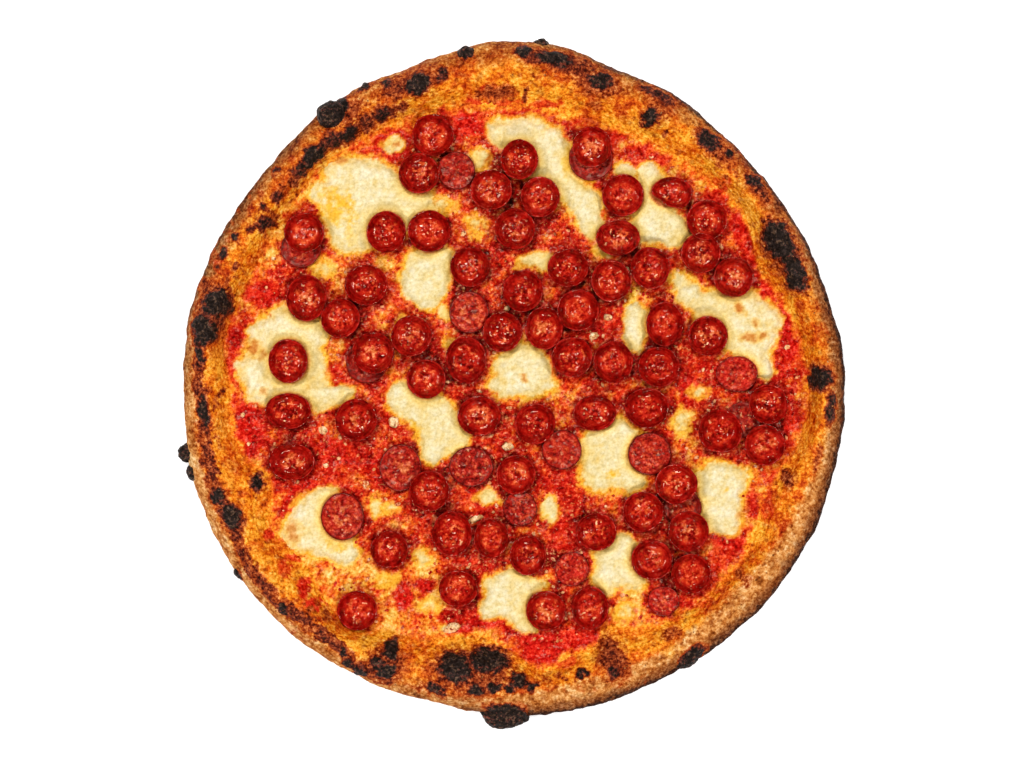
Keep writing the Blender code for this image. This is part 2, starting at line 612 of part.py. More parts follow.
def make_pepperoni(material, ground):
    """Every slice or cluster of slices as its own solid, laid from the bottom up."""
    draw = random.Random(SEED)
    places = lay_out_slices()
    joined = {key for cluster in CLUSTERS for key in cluster}
    groups = CLUSTERS + [(key,) for key in sorted(SLICES) if key not in joined]
    groups.sort(key=min)
    bare = surface_tree(ground)
    pieces = []
    for number, cluster in enumerate(groups, start=1):
        laid = []
        flats = []
        for key in cluster:
            piece = make_slice(key, places[key], draw, material, bare)
            if flats and SLICES[key][4] != FLAT:
                settle_on_flats(piece, flats)
            laid.append(piece)
            if SLICES[key][4] == FLAT:
                flats.append(piece)
        base = laid[0]
        base.name = "pepperoni_%02d" % number
        base.data.name = base.name
        if len(laid) > 1:
            fuse(base, laid[1:])
        pieces.append(base)
    return pieces


def settle_on_flats(piece, flats):
    """Raise a cup that lies over a flat slice until it just sinks into it."""
    tree = surface_tree(flats)
    need = 0.0
    for face in piece.data.polygons:
        low = face.center
        hit, _, _, _ = tree.ray_cast(Vector((low.x, low.y, 100.0 * MM)), Vector((0.0, 0.0, -1.0)))
        if hit is not None and face.normal.z < -0.5:
            need = max(need, hit.z - low.z - SINK_INTO_BELOW * MM)
    for vert in piece.data.vertices:
        vert.co.z += need


def centre_on_box(objects):
    """Move every solid so that the middle of the whole box stands over the origin."""
    corners = [vert.co for thing in objects for vert in thing.data.vertices]
    middle_x = 0.5 * (min(c.x for c in corners) + max(c.x for c in corners))
    middle_y = 0.5 * (min(c.y for c in corners) + max(c.y for c in corners))
    shift = Matrix.Translation((-middle_x, -middle_y, 0.0))
    for thing in objects:
        thing.data.transform(shift)
    print("shifted by", round(-middle_x / MM, 3), round(-middle_y / MM, 3))


def main():
    for thing in list(bpy.data.objects):
        bpy.data.objects.remove(thing, do_unlink=True)
    baked = food_material("baked_crust", (0.46, 0.20, 0.065), 0.78)
    tomato = food_material("tomato_sauce", (0.60, 0.045, 0.015), 0.38)
    melted = food_material("melted_cheese", (0.88, 0.74, 0.40), 0.42)
    cured = food_material("pepperoni", (0.44, 0.035, 0.014), 0.35)
    crust = make_crust(baked)
    sauce = make_sauce(tomato)
    below = surface_tree([sauce])
    cheeses = []
    for number, pool in enumerate(CHEESE_POOLS, start=1):
        cheeses.append(make_cheese("cheese_%02d" % number, pool, melted, below))
    slices = make_pepperoni(cured, [crust, sauce] + cheeses)
    centre_on_box([crust, sauce] + cheeses + slices)


main()
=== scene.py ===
"""Looks of a whole pepperoni pizza over its CAD solids, seen from straight above.

Plan sizes are in millimetres in the pizza's own plan, +X to the right and +Y to the top of
the photographed view. They become metres in the row frame when a mesh is made.
"""
import json
import math

import bmesh
import bpy
import numpy as np
from mathutils import Matrix

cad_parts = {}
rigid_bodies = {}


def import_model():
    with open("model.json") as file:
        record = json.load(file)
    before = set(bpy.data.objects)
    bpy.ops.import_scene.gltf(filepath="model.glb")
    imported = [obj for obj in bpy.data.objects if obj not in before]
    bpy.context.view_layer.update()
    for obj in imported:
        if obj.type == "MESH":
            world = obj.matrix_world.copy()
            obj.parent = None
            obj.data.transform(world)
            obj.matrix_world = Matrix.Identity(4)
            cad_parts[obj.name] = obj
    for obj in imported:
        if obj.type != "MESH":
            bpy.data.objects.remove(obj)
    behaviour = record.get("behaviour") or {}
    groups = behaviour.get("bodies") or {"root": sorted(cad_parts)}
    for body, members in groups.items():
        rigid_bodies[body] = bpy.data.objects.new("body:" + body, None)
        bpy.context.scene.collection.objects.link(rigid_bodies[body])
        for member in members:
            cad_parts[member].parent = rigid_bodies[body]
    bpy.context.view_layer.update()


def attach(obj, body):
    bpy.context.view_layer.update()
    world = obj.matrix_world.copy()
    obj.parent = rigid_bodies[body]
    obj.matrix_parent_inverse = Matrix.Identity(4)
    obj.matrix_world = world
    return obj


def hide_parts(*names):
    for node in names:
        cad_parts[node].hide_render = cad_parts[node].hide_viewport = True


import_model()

MM = 0.001
# Shift from the pizza's plan to the row frame, whose origin is under the whole box
SHIFT = (-0.463, 0.032)
SEED = 20

# Camera and light
VIEW_WIDTH = 512.0
LENS = 85.0
SENSOR = 36.0
REFERENCE_HEIGHT = 13.0
WORLD_STRENGTH = 0.10
# Lamps: place in metres, width, depth in metres, watts
LAMPS = {
    "key": ((-0.12, 0.62, 1.15), 0.16, 0.15, 7.4),
    "left": ((-0.80, 0.12, 0.95), 0.16, 0.15, 5.4),
    "right": ((0.80, 0.10, 0.95), 0.16, 0.15, 5.2),
    "front": ((0.05, -0.85, 0.95), 0.16, 0.15, 7.0),
}
# Share of its display colour that a surface is painted at
PAINT_SHARE = 0.90
FLOOR_HALF = 3.0
FLOOR_ALBEDO = 0.86
FLOOR_GLOW = 0.45

# Fine grain of every surface: patterns a metre, and how far it swings the colour
COARSE_GRAIN = 350.0
FINE_GRAIN = 700.0
GRAIN_SWING = 1.0
# The grain is the sum of two patterns, and lies mostly between these
GRAIN_RANGE = (0.6, 1.4)
# What the grain does to the colour at its two ends: scale and gamma
GRAIN_SCALE = (0.5, 1.5)
GRAIN_GAMMA = (1.6, 0.4)
# What it adds to the roughness, and the least roughness of all
GRAIN_GLOSS = (-0.04, 0.06)
LEAST_ROUGHNESS = 0.10
# Soft, wet bumps that catch the light on the toppings and on the meat: patterns a metre,
# and the share of the fine grain on them
WET_GRAIN = (270.0, 0.08)
MEAT_GRAIN = (185.0, 0.012)
# Depth of the relief in metres, and strength of the reflections
DOUGH_FINISH = (0.0005, 0.07)
TOPPING_FINISH = (0.0011, 0.12)
MEAT_FINISH = (0.0018, 0.24)
# Pattern of the wrinkles round a slice's wall, in millimetres
WRINKLE_SIZE = 0.9

# Crust: the driving sizes of the solids
CENTRE = (2.0, 3.0)
RIM_RADIUS = 165.5
RECESS_RADIUS = 140.0
CREST_HEIGHT = 19.0
CREST_INSET = 12.0
BED_HEIGHT = 4.2
LIP_HEIGHT = 7.4
LIP_RUN = 1.5
RIM_SIDE = [(13.0, 0.0), (5.5, 1.5), (1.4, 5.0), (0.0, 9.0)]
RIM_SHOULDER = [(1.7, 0.70), (6.0, 0.90)]
INNER_SLOPE = [(0.25, 0.90), (0.50, 0.64), (0.75, 0.27)]
TOP_START = 8.0
TOP_BLEND = 6.0
CRAG_DEPTH = 0.9
CRAG_SIZE = 15.0
FINE_CRAG_DEPTH = 0.45
FINE_CRAG_SIZE = 6.5
CRUST_TURNS = 960
# Mesh steps from each station of the crust's profile to the next
CRUST_STEPS = [4, 4, 5, 5, 6, 8, 10, 11, 11, 9, 3]
UNDERSIDE_RINGS = 13

# Swellings: angle in degrees, half width in degrees, amount
RIM_SWELLS = [
    (42, 22, -5.6), (17, 11, -2.6), (72, 6, -2.6), (90, 12, 3.6), (108, 8, -1.2), (143, 14, -3),
    (171, 5, 1), (192, 8, 1.6), (203, 10, 2), (222, 20, 4.4), (242, 14, 2), (276, 18, 3.8),
    (320, 24, 3.4),
]
RECESS_SWELLS = [
    (0, 12, 6), (25, 6, -7), (38, 6, 2), (75, 28, -6), (130, 14, 3), (172, 8, 6), (188, 5, 4),
    (203, 5, -8), (213, 4, 3), (235, 7, 10), (262, 9, -10), (276, 4, 8), (291, 4, -9), (315, 18, 5),
    (335, 6, -4), (350, 8, 3),
]
CREST_SWELLS = [
    (25, 9, 2.4), (48, 7, -1.4), (62, 4, 1), (88, 6, 2.2), (107, 6, 1.8), (128, 9, -0.8),
    (148, 6, -1.6), (170, 7, 3), (187, 6, -1.2), (204, 6, 1.4), (222, 12, 1.8), (244, 4, 2),
    (262, 8, 3.2), (276, 4, -1.8), (288, 4, 1.6), (306, 12, -1.8), (340, 10, -1.2), (356, 6, 1.2),
]

# Puffs on the rim: angle in degrees, radius, half length round, half width, height
PUFFS = [
    (25, 149, 19, 11, 3.2), (49, 151, 6, 8, 1.6), (61.5, 147, 5, 13, 2.2), (73, 156, 7, 9, 1.8),
    (88, 158, 12, 9, 2.4), (107, 155, 11, 12, 2.6), (124, 148, 7, 7, 1.8), (132, 150, 12, 7, 2.2),
    (148.5, 149, 8, 7, 1.8), (168, 152, 15, 11, 3.2), (203, 158, 13, 9, 2), (202, 139, 5, 6, 1.4),
    (222, 161, 26, 7, 1.6), (245, 155, 6, 16, 2.4), (261, 149, 17, 15, 4), (287.5, 147, 7, 14, 2.8),
    (339, 146, 7, 7, 1.8), (354, 156, 10, 8, 2),
]

# Burst bubbles: angle, radius, height of the middle, half length round, half
# width and half height
BUBBLES = [
    (125, 159.8, 15.5, 7.5, 7, 7), (268.2, 167.2, 9.2, 12.5, 8.6, 7), (192.9, 167, 8, 5, 6.8, 5.5),
    (196.4, 166, 8.5, 5.2, 5.6, 5.5), (85.6, 166, 10.5, 4.5, 4.5, 5),
    (301.5, 164.6, 11, 6.8, 4.2, 4.5), (215.2, 168.3, 10, 3.6, 3.4, 4),
    (98.6, 163, 15, 4.6, 4.4, 4.4),
]
# Burnt and browned places: place, half length round the rim, half length across it,
# darkness from 0.3 golden brown to 1.0 black
CHARS = [
    (133, 70.5, 12, 7, 1), (141, 55, 10, 5.4, 1), (137, 63, 14, 7.5, 0.62),
    (121.5, 101, 5, 3, 0.85), (124.5, 95.5, 7, 4.5, 0.58), (98.5, 121, 8, 4.5, 0.88),
    (103, 117, 11, 6, 0.5), (109, 114.3, 2.2, 1.8, 0.95), (69.3, 133, 4.2, 5, 1),
    (74, 137, 7, 6, 0.42), (76.5, 124.7, 2, 2, 0.55), (73.5, 144, 11, 3.5, 0.7),
    (32, 156, 12, 3.6, 0.55), (44, 151, 7.5, 4.5, 0.85), (43, 149.5, 14, 7, 0.5),
    (6, 165, 4.2, 3.6, 1), (14, 162, 8, 4.6, 0.62), (21.5, 161.5, 9, 4, 0.95),
    (26, 160.5, 13, 5.5, 0.6), (37, 159, 6, 2.6, 0.58), (7, 145, 1.5, 4, 0.5),
    (42, 139.5, 4, 3, 0.4), (-7.5, 145.5, 10, 3.6, 0.5), (-22.5, 164.3, 3.3, 3, 1),
    (-46.2, 149, 6.5, 5.5, 0.97), (-49.5, 149.5, 17, 6, 0.58), (-34, 153.5, 3, 4, 0.8),
    (-61.5, 149.5, 4, 3, 0.78), (-84.7, 138.5, 5, 4.5, 1), (-82, 136, 10, 7, 0.5),
    (-55.5, 138, 4.5, 3, 0.56), (-63.5, 135, 6.5, 4, 0.78), (-72, 130, 5.5, 4, 0.62),
    (-81.5, 124.2, 6, 4.5, 0.95), (-89, 122, 5.5, 4, 0.76), (-94.5, 117, 4.5, 3.5, 0.72),
    (-99, 113.2, 7, 4.2, 0.97), (-105.5, 107, 5.5, 3.2, 0.76), (-107.5, 102, 3.5, 2.6, 0.6),
    (-116.5, 106.5, 2, 2, 0.74), (-109.5, 107, 1.8, 1.6, 0.66), (-123.7, 89, 2, 2, 0.75),
    (-116, 93, 3.4, 2.6, 0.68), (-137.5, 74.2, 2.4, 2.2, 0.9), (-143.5, 65, 2.7, 2, 0.9),
    (-123.2, 79.7, 4.8, 4.2, 0.75), (-128.7, 77.5, 3, 2.5, 0.62), (-137, 58.2, 2.6, 2.4, 0.62),
    (-145.5, 58, 2.2, 1.6, 0.75), (-145.7, 40.5, 8.5, 6.5, 1), (-152.5, 26.5, 8.5, 6.2, 1),
    (-149, 35, 16, 8, 0.62), (-155, 14.5, 5, 2.5, 0.88), (-153, 48, 5, 4, 0.55),
    (-153.5, -14, 9, 2.8, 0.92), (-145.7, -55.5, 4.8, 4, 0.97), (-139, -66, 7.2, 5, 1),
    (-126.5, -49, 5, 3.2, 0.97), (-144.7, -4, 2, 2, 0.62), (-113.5, -111.5, 3, 2.2, 0.95),
    (-83.5, -133, 3.2, 2.6, 0.96), (-80.5, -139, 3, 2.2, 0.92), (-75, -143, 4.5, 2.2, 0.88),
    (-59.5, -132.5, 4, 4.8, 1), (-3.2, -162.5, 10, 3.6, 1), (-62, -142.5, 5, 4.5, 1),
    (-66.5, -138, 4, 4, 0.85), (-61.5, -139, 10, 8.5, 0.56), (-27.5, -141, 9.5, 7.6, 1),
    (-11.5, -138, 10.5, 6.2, 1), (-18, -151, 4.2, 3, 0.92), (-8.3, -150.5, 3.4, 3, 0.95),
    (-37.5, -151.5, 4.8, 3.4, 0.85), (-0.5, -151, 2.6, 2, 0.85), (4, -148, 5, 4, 0.97),
    (10.5, -151.5, 3.2, 2, 0.92), (-20, -144, 22, 11, 0.52), (-44.5, -127, 1.8, 1.8, 0.8),
    (-53.5, -124.5, 2, 3, 0.4), (-60, -121.5, 3, 2.5, 0.42), (50.5, -137, 7.2, 11.5, 0.56),
    (51, -143, 4, 4, 0.72), (35.8, -144, 3.3, 1.8, 0.88), (90.8, -135.5, 8, 3.4, 0.97),
    (79.8, -124.5, 5, 3.5, 0.42), (59, -117, 4, 3.5, 0.36), (116, -96.5, 3, 5, 0.42),
    (138.5, -47.5, 4.5, 3.5, 0.55), (152.5, -37.5, 7, 2, 0.48), (153.8, 3, 6, 6.4, 0.95),
    (159, -12, 8, 3.2, 0.8), (-136, -95.5, 2.4, 2.2, 1), (-73.2, 148.2, 3, 2, 0.92),
]
# Dark ridge where the floured side meets the glossy top: places along it
RIDGE = [
    (-156.5, 8), (-155, -2), (-153.5, -12), (-153.5, -23), (-152.5, -32), (-150.5, -40),
    (-148.5, -48), (-145, -56), (-139, -68), (-134, -82), (-128.5, -93), (-121, -102.5),
    (-109, -113.5), (-95.5, -123), (-83.5, -132.5), (-75, -141), (-62, -148),
]
RIDGE_HALF_WIDTH = 4.6
# Floured band on the outside: angle in degrees, radius of its inner edge
FLOUR_BAND = [
    (0, 158.5), (20, 155.5), (28, 161), (34, 166), (55, 166), (62, 161.5), (80, 165), (90, 170),
    (122, 168), (130, 161), (145, 157), (165, 160), (180, 159.5), (200, 162), (220, 165),
    (240, 163.5), (255, 161.5), (268, 157), (285, 154), (300, 154.5), (315, 152.5), (330, 154),
    (345, 157),
]
# Toasting towards the outer edge: angle in degrees, strength
TOAST = [
    (0, 0.20), (15, 0.40), (35, 0.80), (60, 0.60), (85, 0.60), (108, 0.45), (130, 0.40),
    (150, 0.18), (165, 0.08), (200, 0.08), (240, 0.20), (255, 0.35), (275, 0.20), (300, 0.10),
    (325, 0.15), (345, 0.20),
]
# Dark edge, partly painted shade: the angle where it starts and how far round it runs, then the
# angle and half width of its weaker part on the left, then how far on from the start the top lies,
# where only its last millimetres are dark, and the half width there
DARK_SIDE = (255.0, 138.0)
LEFT_SIDE = (150.0, 26.0)
TOP_SIDE = (145.0, 40.0)
# Smears on the inner slope: place, half sizes, strength. Red ones are sauce, golden ones oil
RED_SMEARS = [
    (-103.5, -101.5, 3, 6, 1), (-99, -110, 5, 3, 1), (-120, -75, 4, 3.5, 0.9),
    (-108, -86, 5, 2.6, 0.8), (-113, -92, 3, 5, 0.6), (-127, 26, 3, 6, 0.7), (-9, 141, 14, 2, 0.7),
    (18, 140, 8, 2.2, 0.7), (-146, 60, 2.5, 5, 0.5), (24, -139, 9, 4, 0.6), (-7, 146, 10, 3, 0.5),
    (147, -2, 2.5, 6, 0.6), (105, 100, 5, 3, 0.5), (92, -110, 8, 2.5, 0.5), (128, -62, 3, 8, 0.5),
]
OIL_SMEARS = [
    (-134, -77, 6, 4, 1), (-128, -86, 4, 5, 0.9), (-118, -98, 4, 5, 0.7), (-147, 12, 3.5, 7, 0.8),
    (-145, -22, 3.5, 9, 0.8), (-141, -45, 4, 6, 0.7), (119, 84, 3.5, 9, 0.8), (112, 92, 6, 6, 0.6),
    (60, 129, 8, 4, 0.7), (-90, 118, 8, 4, 0.6), (-52, 136, 8, 3.5, 0.6), (24, 134, 7, 3, 0.5),
    (-92, -112, 8, 4, 0.7), (78, -132, 7, 3, 0.5), (146, -30, 3, 8, 0.5),
]
# Places with many small brown freckles: place, half sizes
FRECKLES = [
    (-122, 96, 22, 18), (-141, 62, 10, 22), (-135, -58, 14, 12), (-110, -118, 26, 12),
    (-50, 150, 22, 8), (25, 158, 24, 8), (-25, -150, 30, 8), (112, 108, 14, 14), (-150, -20, 6, 30),
    (40, -148, 30, 6),
]

# Toppings
SAUCE_LEVEL = 6.7
SAUCE_RIPPLE = 0.6
SAUCE_RIPPLE_SIZE = 17.0
BED_STEP = 0.95
CHEESE_STEP = 0.85
BED_UNDER_RIM = 3.0
# Lumps in the sauce: place, half sizes, height
TOMATO_LUMPS = [
    (-133, -23, 11, 14, 1.5), (134, 26, 10, 12, 1.5), (19.5, -130, 26, 8, 1.4),
    (-54.5, -107, 9, 8, 1.7), (-43, -105, 8, 8, 1.4), (-103, -102, 7, 6, 1.3),
    (-23, 131, 9, 7, 1.3), (20, 134, 9, 7, 1.3), (112, 84, 12, 9, 1.3), (109.5, -79, 12, 11, 1.3),
    (-102, -52, 9, 7, 1.2), (90, -10, 9, 8, 1.2), (33, 98, 9, 8, 1), (-86, -42, 10, 12, 1.2),
    (60, -108, 12, 8, 1.4),
]

# Cheese pools: each is a few round blobs that run together (place, radius)
CHEESE_POOLS = [
    [(-83, 103, 11), (-69.5, 99.5, 12), (-55.5, 92, 11), (-48, 89.5, 8), (-80.5, 89.5, 13),
     (-80.5, 74.5, 9), (-63, 79, 8)],
    [(-7, 126, 6), (4.5, 126, 8), (17, 123, 8), (23.5, 114.5, 7.5), (23, 102, 6.5),
     (8, 112, 8), (31, 97, 7), (39, 89, 7), (40.5, 79, 6)],
    [(-43, 57, 11), (-40.5, 44.5, 7), (-48, 49.5, 5.5), (-35.5, 61, 6)],
    [(-113, 29.5, 10), (-124.5, 24.5, 7), (-130.5, 9.5, 7), (-126.5, -2, 7),
     (-110.5, -5.5, 7), (-95.5, -5.5, 7), (-84.5, -4.5, 4.5), (-99, 9.5, 6),
     (-99.5, 24.5, 7), (-112, 11, 10)],
    [(69.5, 104.5, 6), (72, 92, 8), (77, 79.5, 9), (67, 79.5, 7), (57, 108, 4),
     (84.5, 74.5, 5)],
    [(102, 37, 9), (117, 38, 9), (128.5, 32, 7), (114.5, 24.5, 7), (127, 22, 6),
     (119.5, 13, 6), (127, 8, 5), (89.5, 46, 6), (103, 27, 8)],
    [(4.5, 9.5, 11), (12, 4.5, 9), (-3, -0.5, 7)],
    [(-48, -10.5, 10), (-35.5, -18, 10), (-35.5, -28, 8), (-55.5, -7, 6),
     (-25.5, -28, 4.5), (-40.5, -35.5, 4.5)],
    [(49.5, -30.5, 12), (47, -43, 11), (62, -48, 6), (57, -28, 6)],
    [(102, -48, 9), (112, -48, 7), (104.5, -60.5, 8), (109.5, -69, 7), (99.5, -70.5, 4)],
    [(-99.5, -65.5, 10), (-105.5, -75.5, 8), (-93, -80.5, 7), (-83, -85.5, 6),
     (-93, -58, 5), (-87, -70, 9)],
    [(-3, -105.5, 10), (2, -103, 8), (4.5, -117, 5.5), (-9.5, -112, 5), (8.5, -121, 3)],
    [(52, -88, 9), (47, -99, 6), (62, -95.5, 6), (57, -80.5, 5)],
    [(63, 29.5, 5.5), (62.5, 37, 4.5), (62.5, 21, 4.5)],
]
# Small melts that are no pools of their own: place, half sizes, amount
THIN_MELTS = [
    (19.5, -63.5, 4.4, 6.6, 1.3), (13, 62, 10, 4.6, 0.95), (-11, -56.5, 6, 4.4, 0.95),
    (-45, -87, 4.5, 5.5, 0.75), (-68, -63, 3.4, 5.5, 0.8), (-31, -122.5, 4.2, 2.4, 1.1),
    (-88, 112, 5, 5.5, 0.8), (-92, 96, 8, 7, 1.15), (-59.5, 120.5, 5.4, 3.2, 1.2),
    (-127.5, 30, 3, 3, 0.8), (9, -103, 8, 6, 1.3), (-33, 35, 4, 4.5, 0.9), (35, 104, 6, 8, 0.8),
    (45, 68, 5, 5, 0.6), (86, 51, 8, 6, 0.75), (92, 43, 6, 5, 0.8), (-55, 27, 6, 10, 0.6),
    (-35, 90, 9, 6, 0.6), (-18, 80, 7, 7, 0.6), (60, -100, 8, 6, 0.7), (86, -18, 6, 8, 0.65),
    (95, -4, 7, 5, 0.6), (-95, 58, 7, 8, 0.6), (-16, 112, 8, 6, 0.7), (-120, -90, 9, 6, 0.55),
    (-62, -100, 8, 6, 0.5), (-40, -112, 8, 5, 0.5), (57, -115, 8, 7, 0.6), (-30, 20, 5, 4, 0.55),
    (-60, -62, 7, 4, 0.55),
]
# Orange to golden places, where fat and cheese have run into the sauce
WARM_PATCHES = [
    (-126, 60, 16, 9, 0.5), (-114, 82, 8, 12, 0.4), (-91, 58, 11, 12, 0.42),
    (-115, -88, 22, 12, 0.55), (-98, -97, 26, 13, 0.5), (-76, -100, 28, 13, 0.42),
    (-56, -113, 24, 12, 0.45), (-89, 16, 7, 8, 0.3), (64, 47, 7, 7, 0.45), (91, 47, 9, 8, 0.4),
    (14, -4, 9, 5, 0.35), (87, -19, 8, 15, 0.3), (57, -114, 11, 9, 0.5), (-41, -86, 8, 8, 0.35),
    (-68, -62, 9, 9, 0.3), (30, 107, 7, 10, 0.35), (38, 92, 9, 10, 0.35), (45, 66, 8, 6, 0.35),
    (124, -46, 7, 18, 0.35), (-140, -30, 6, 26, 0.45), (70, 105, 8, 12, 0.3),
    (-48, 130, 14, 8, 0.3), (-60, 62, 8, 8, 0.3), (-40, -100, 10, 8, 0.3), (-62, 30, 7, 10, 0.25),
    (128, 8, 10, 6, 0.2), (-30, 100, 14, 10, 0.15), (105, -88, 8, 6, 0.2),
]
# Bright red crushed tomato: place, half sizes, amount
TOMATOES = [
    (-132.5, -23, 8, 16, 1), (-102, -52, 7.5, 5, 1), (-138, 24, 4.5, 6, 0.9),
    (-139, 10, 4.5, 9, 0.85), (-127, 47, 12, 5.5, 0.85), (-66, 120.5, 3, 6, 0.95),
    (-53, 120.5, 3, 6, 0.95), (-60, 126, 6, 2.6, 0.95), (-60, 115.6, 6, 2.4, 0.9),
    (-69, 111, 9, 3.4, 0.75), (-22, 129.5, 9, 5.5, 1), (9, 135, 14, 2.8, 0.95),
    (52, 126, 4.5, 6, 0.85), (62.5, 113.5, 7, 5.5, 0.75), (75, 113, 5, 3.6, 0.75),
    (109, 93, 10, 6.5, 0.9), (117, 82, 7, 10, 0.95), (120, 66, 5, 10, 0.85),
    (125, 48, 5.5, 8, 0.95), (139, 26, 6.5, 15, 1), (134, 7, 7.5, 5.5, 0.85), (89.3, -3, 4, 7.5, 1),
    (115, -17, 8, 6, 0.6), (141, -19, 4.5, 8, 0.85), (111, -78, 12, 7, 0.95), (105, -88, 7, 7, 0.7),
    (122.5, -60, 3.6, 8, 0.85), (16, -133, 11, 8, 1), (36, -128, 8, 6, 0.95),
    (26, -131, 10, 6, 0.9), (-24, -123.5, 7, 3.4, 0.95), (-13, -119, 9, 3.4, 1),
    (1, -121, 8, 3.6, 0.95), (-54, -106.5, 4.2, 7.5, 1), (-43, -102, 5, 4, 1),
    (-102.5, -102.5, 4, 5.5, 0.85), (-98.5, -111.5, 3.4, 2.8, 0.85), (-110, -59, 4, 4.6, 0.9),
    (59.5, -116, 4.4, 4.2, 0.6), (-90, 5, 6, 4.6, 0.75), (-54.5, 45, 6.5, 8, 0.6),
    (-13.5, -63.5, 3.4, 2.8, 0.95), (-68, -42, 9, 6, 0.7), (-88, -35, 9, 7, 0.75),
    (-20, -58, 7, 5, 0.6), (35, 72, 5, 5, 0.4), (28, -76, 7, 8, 0.6), (60, 22, 4, 6, 0.5),
    (45, 30, 9, 7, 0.55), (-88, -48, 7, 5, 0.6), (20, 12, 6, 6, 0.4), (96, 10, 6, 5, 0.55),
    (-26, -88, 8, 4, 0.5), (20, -46, 9, 7, 0.55),
]
# Oil stains and browned spots on the cheese: place, half sizes, amount
OIL_STAINS = [
    (-86.5, 88, 8.5, 8, 0.95), (-91, 96, 5, 4, 0.6), (-48.5, -25, 3.4, 6, 0.85),
    (52, -46, 2.6, 2.6, 0.95), (108, -52.5, 1.8, 1.6, 0.7), (-87.5, -81.5, 4.5, 3, 0.75),
    (17.5, -68, 3, 3, 0.8), (28, 110, 2.4, 8, 0.6), (60, 44, 4, 5, 0.6), (-80, 75, 3, 6, 0.5),
    (25, 90, 4, 5, 0.5), (60, 84, 4, 5, 0.5),
]
BROWNED = [
    (115, 37, 2.3, 2.6, 0.9), (119, 23, 3, 2, 0.75), (125.5, 23.5, 3, 1.8, 0.75),
    (6, 2, 1.8, 1.7, 0.8), (116.5, -64, 2.4, 4, 0.6), (-109, -74, 2.4, 4.5, 0.65),
    (-129.5, 17.5, 3.6, 3, 0.85), (-124, 14, 2, 2, 0.6), (122, 30, 1.4, 1.4, 0.6),
    (-86, 113, 2.4, 2, 0.7), (-59, 120.8, 1.8, 1.4, 0.85), (-125, -3, 2.2, 1.6, 0.5),
]

# Pepperoni slices: the solids' places and half sizes, by number
SLICES = {
    1: (-39, 124.5, 10.5, 10.5), 2: (-46, 105.5, 10.2, 10.2), 3: (-27.5, 107, 9.5, 9.5),
    4: (-10, 97, 10.5, 10), 5: (4, 112, 9.4, 10), 6: (14.5, 93.5, 9.8, 10.2),
    7: (2, 77.5, 10.2, 10.2), 8: (40.5, 118.5, 9.8, 10.2), 9: (40, 113, 11, 11),
    10: (56, 94.5, 10.5, 10.5), 11: (80.5, 96, 10.5, 7.5), 12: (98, 82, 10.2, 10.2),
    13: (95, 65.5, 10, 10), 14: (111.5, 53.5, 10.2, 10), 15: (-103.5, 75.5, 10, 10),
    16: (-105.5, 68, 10, 9.5), 17: (-62.5, 76, 9.8, 10.5), 18: (-41, 76.5, 10.8, 10.5),
    19: (-20.5, 58.5, 10, 10), 20: (-102.5, 43, 10.2, 11.5), 21: (-85.5, 33, 9.8, 9.8),
    22: (-72.5, 49.5, 10.8, 10.2), 23: (-50, 24, 10.2, 10.2), 24: (-69, 15.5, 10.5, 10.5),
    25: (-72.5, 11, 10.5, 10.5), 26: (-111.5, 11.5, 9.8, 11), 27: (-42.5, 2.5, 9.8, 9.8),
    28: (-21, 36, 10, 10.5), 29: (6, 46.5, 10.2, 10.5), 30: (28.5, 58, 10.2, 9.5),
    31: (33.5, 37, 10.5, 10.5), 32: (-4.5, 26, 10, 10), 33: (16.5, 28, 9.5, 10.8),
    34: (30.5, 13.5, 10.2, 10.2), 35: (-22.5, 12, 10.2, 12), 36: (50, 51.5, 10, 10.5),
    37: (51, 11, 10, 10.5), 38: (53.5, 73, 11, 9), 39: (69.5, 58, 9.8, 10.5), 40: (77, 30, 9.5, 11),
    41: (98.5, 24, 10, 10), 42: (74, 8.5, 10.5, 10), 43: (113.5, 5, 10.5, 9),
    44: (-111.5, -13.5, 11.5, 9), 45: (-77.5, -18, 10.5, 10.5), 46: (-110, -39, 11.8, 9.2),
    47: (-55.5, -42, 10.5, 11.8), 48: (-41, -53.5, 10.2, 10.2), 49: (-84.5, -66.5, 10.8, 12),
    50: (-16, -16, 10.8, 10), 51: (12, -20, 10.2, 10.2), 52: (42, -14.5, 10.8, 9),
    53: (25.5, -33, 10, 10), 54: (-20, -41.5, 11, 10), 55: (2.5, -45.5, 9.8, 9.8),
    56: (4.5, -62.5, 8.5, 9), 57: (68, -12, 11.2, 10), 58: (104.5, -23.5, 11, 11),
    59: (128.5, -10, 9.8, 10), 60: (127, -30.5, 10.2, 10.2), 61: (69.5, -35, 10.8, 10.8),
    62: (82.5, -50, 10.8, 10), 63: (66, -64, 10.2, 10.2), 64: (88.5, -73.5, 10.2, 10.2),
    65: (70.5, -88, 10.5, 10), 66: (90, -95, 10, 10), 67: (76.5, -109, 8, 7.5),
    68: (-61, -83, 9.5, 9.5), 69: (-77, -113.5, 10, 10), 70: (-29.5, -75, 10, 11.5),
    71: (-10, -77, 8.5, 10.2), 72: (8.5, -86, 9.2, 10), 73: (-26.5, -102.5, 9.8, 9.2),
    74: (17.5, -113.5, 10, 10), 75: (39.5, -112, 9.5, 11), 76: (42.5, -74, 10.2, 9.5),
    77: (30.5, -93, 8.5, 8.5), 78: (86, -62, 9.5, 9.5), 79: (116.5, -18, 9, 9),
}
# Flat slices, and the one that is folded; all others are cups
FLAT = (9, 16, 25, 43, 67, 77, 78, 79)
FOLDED = 11
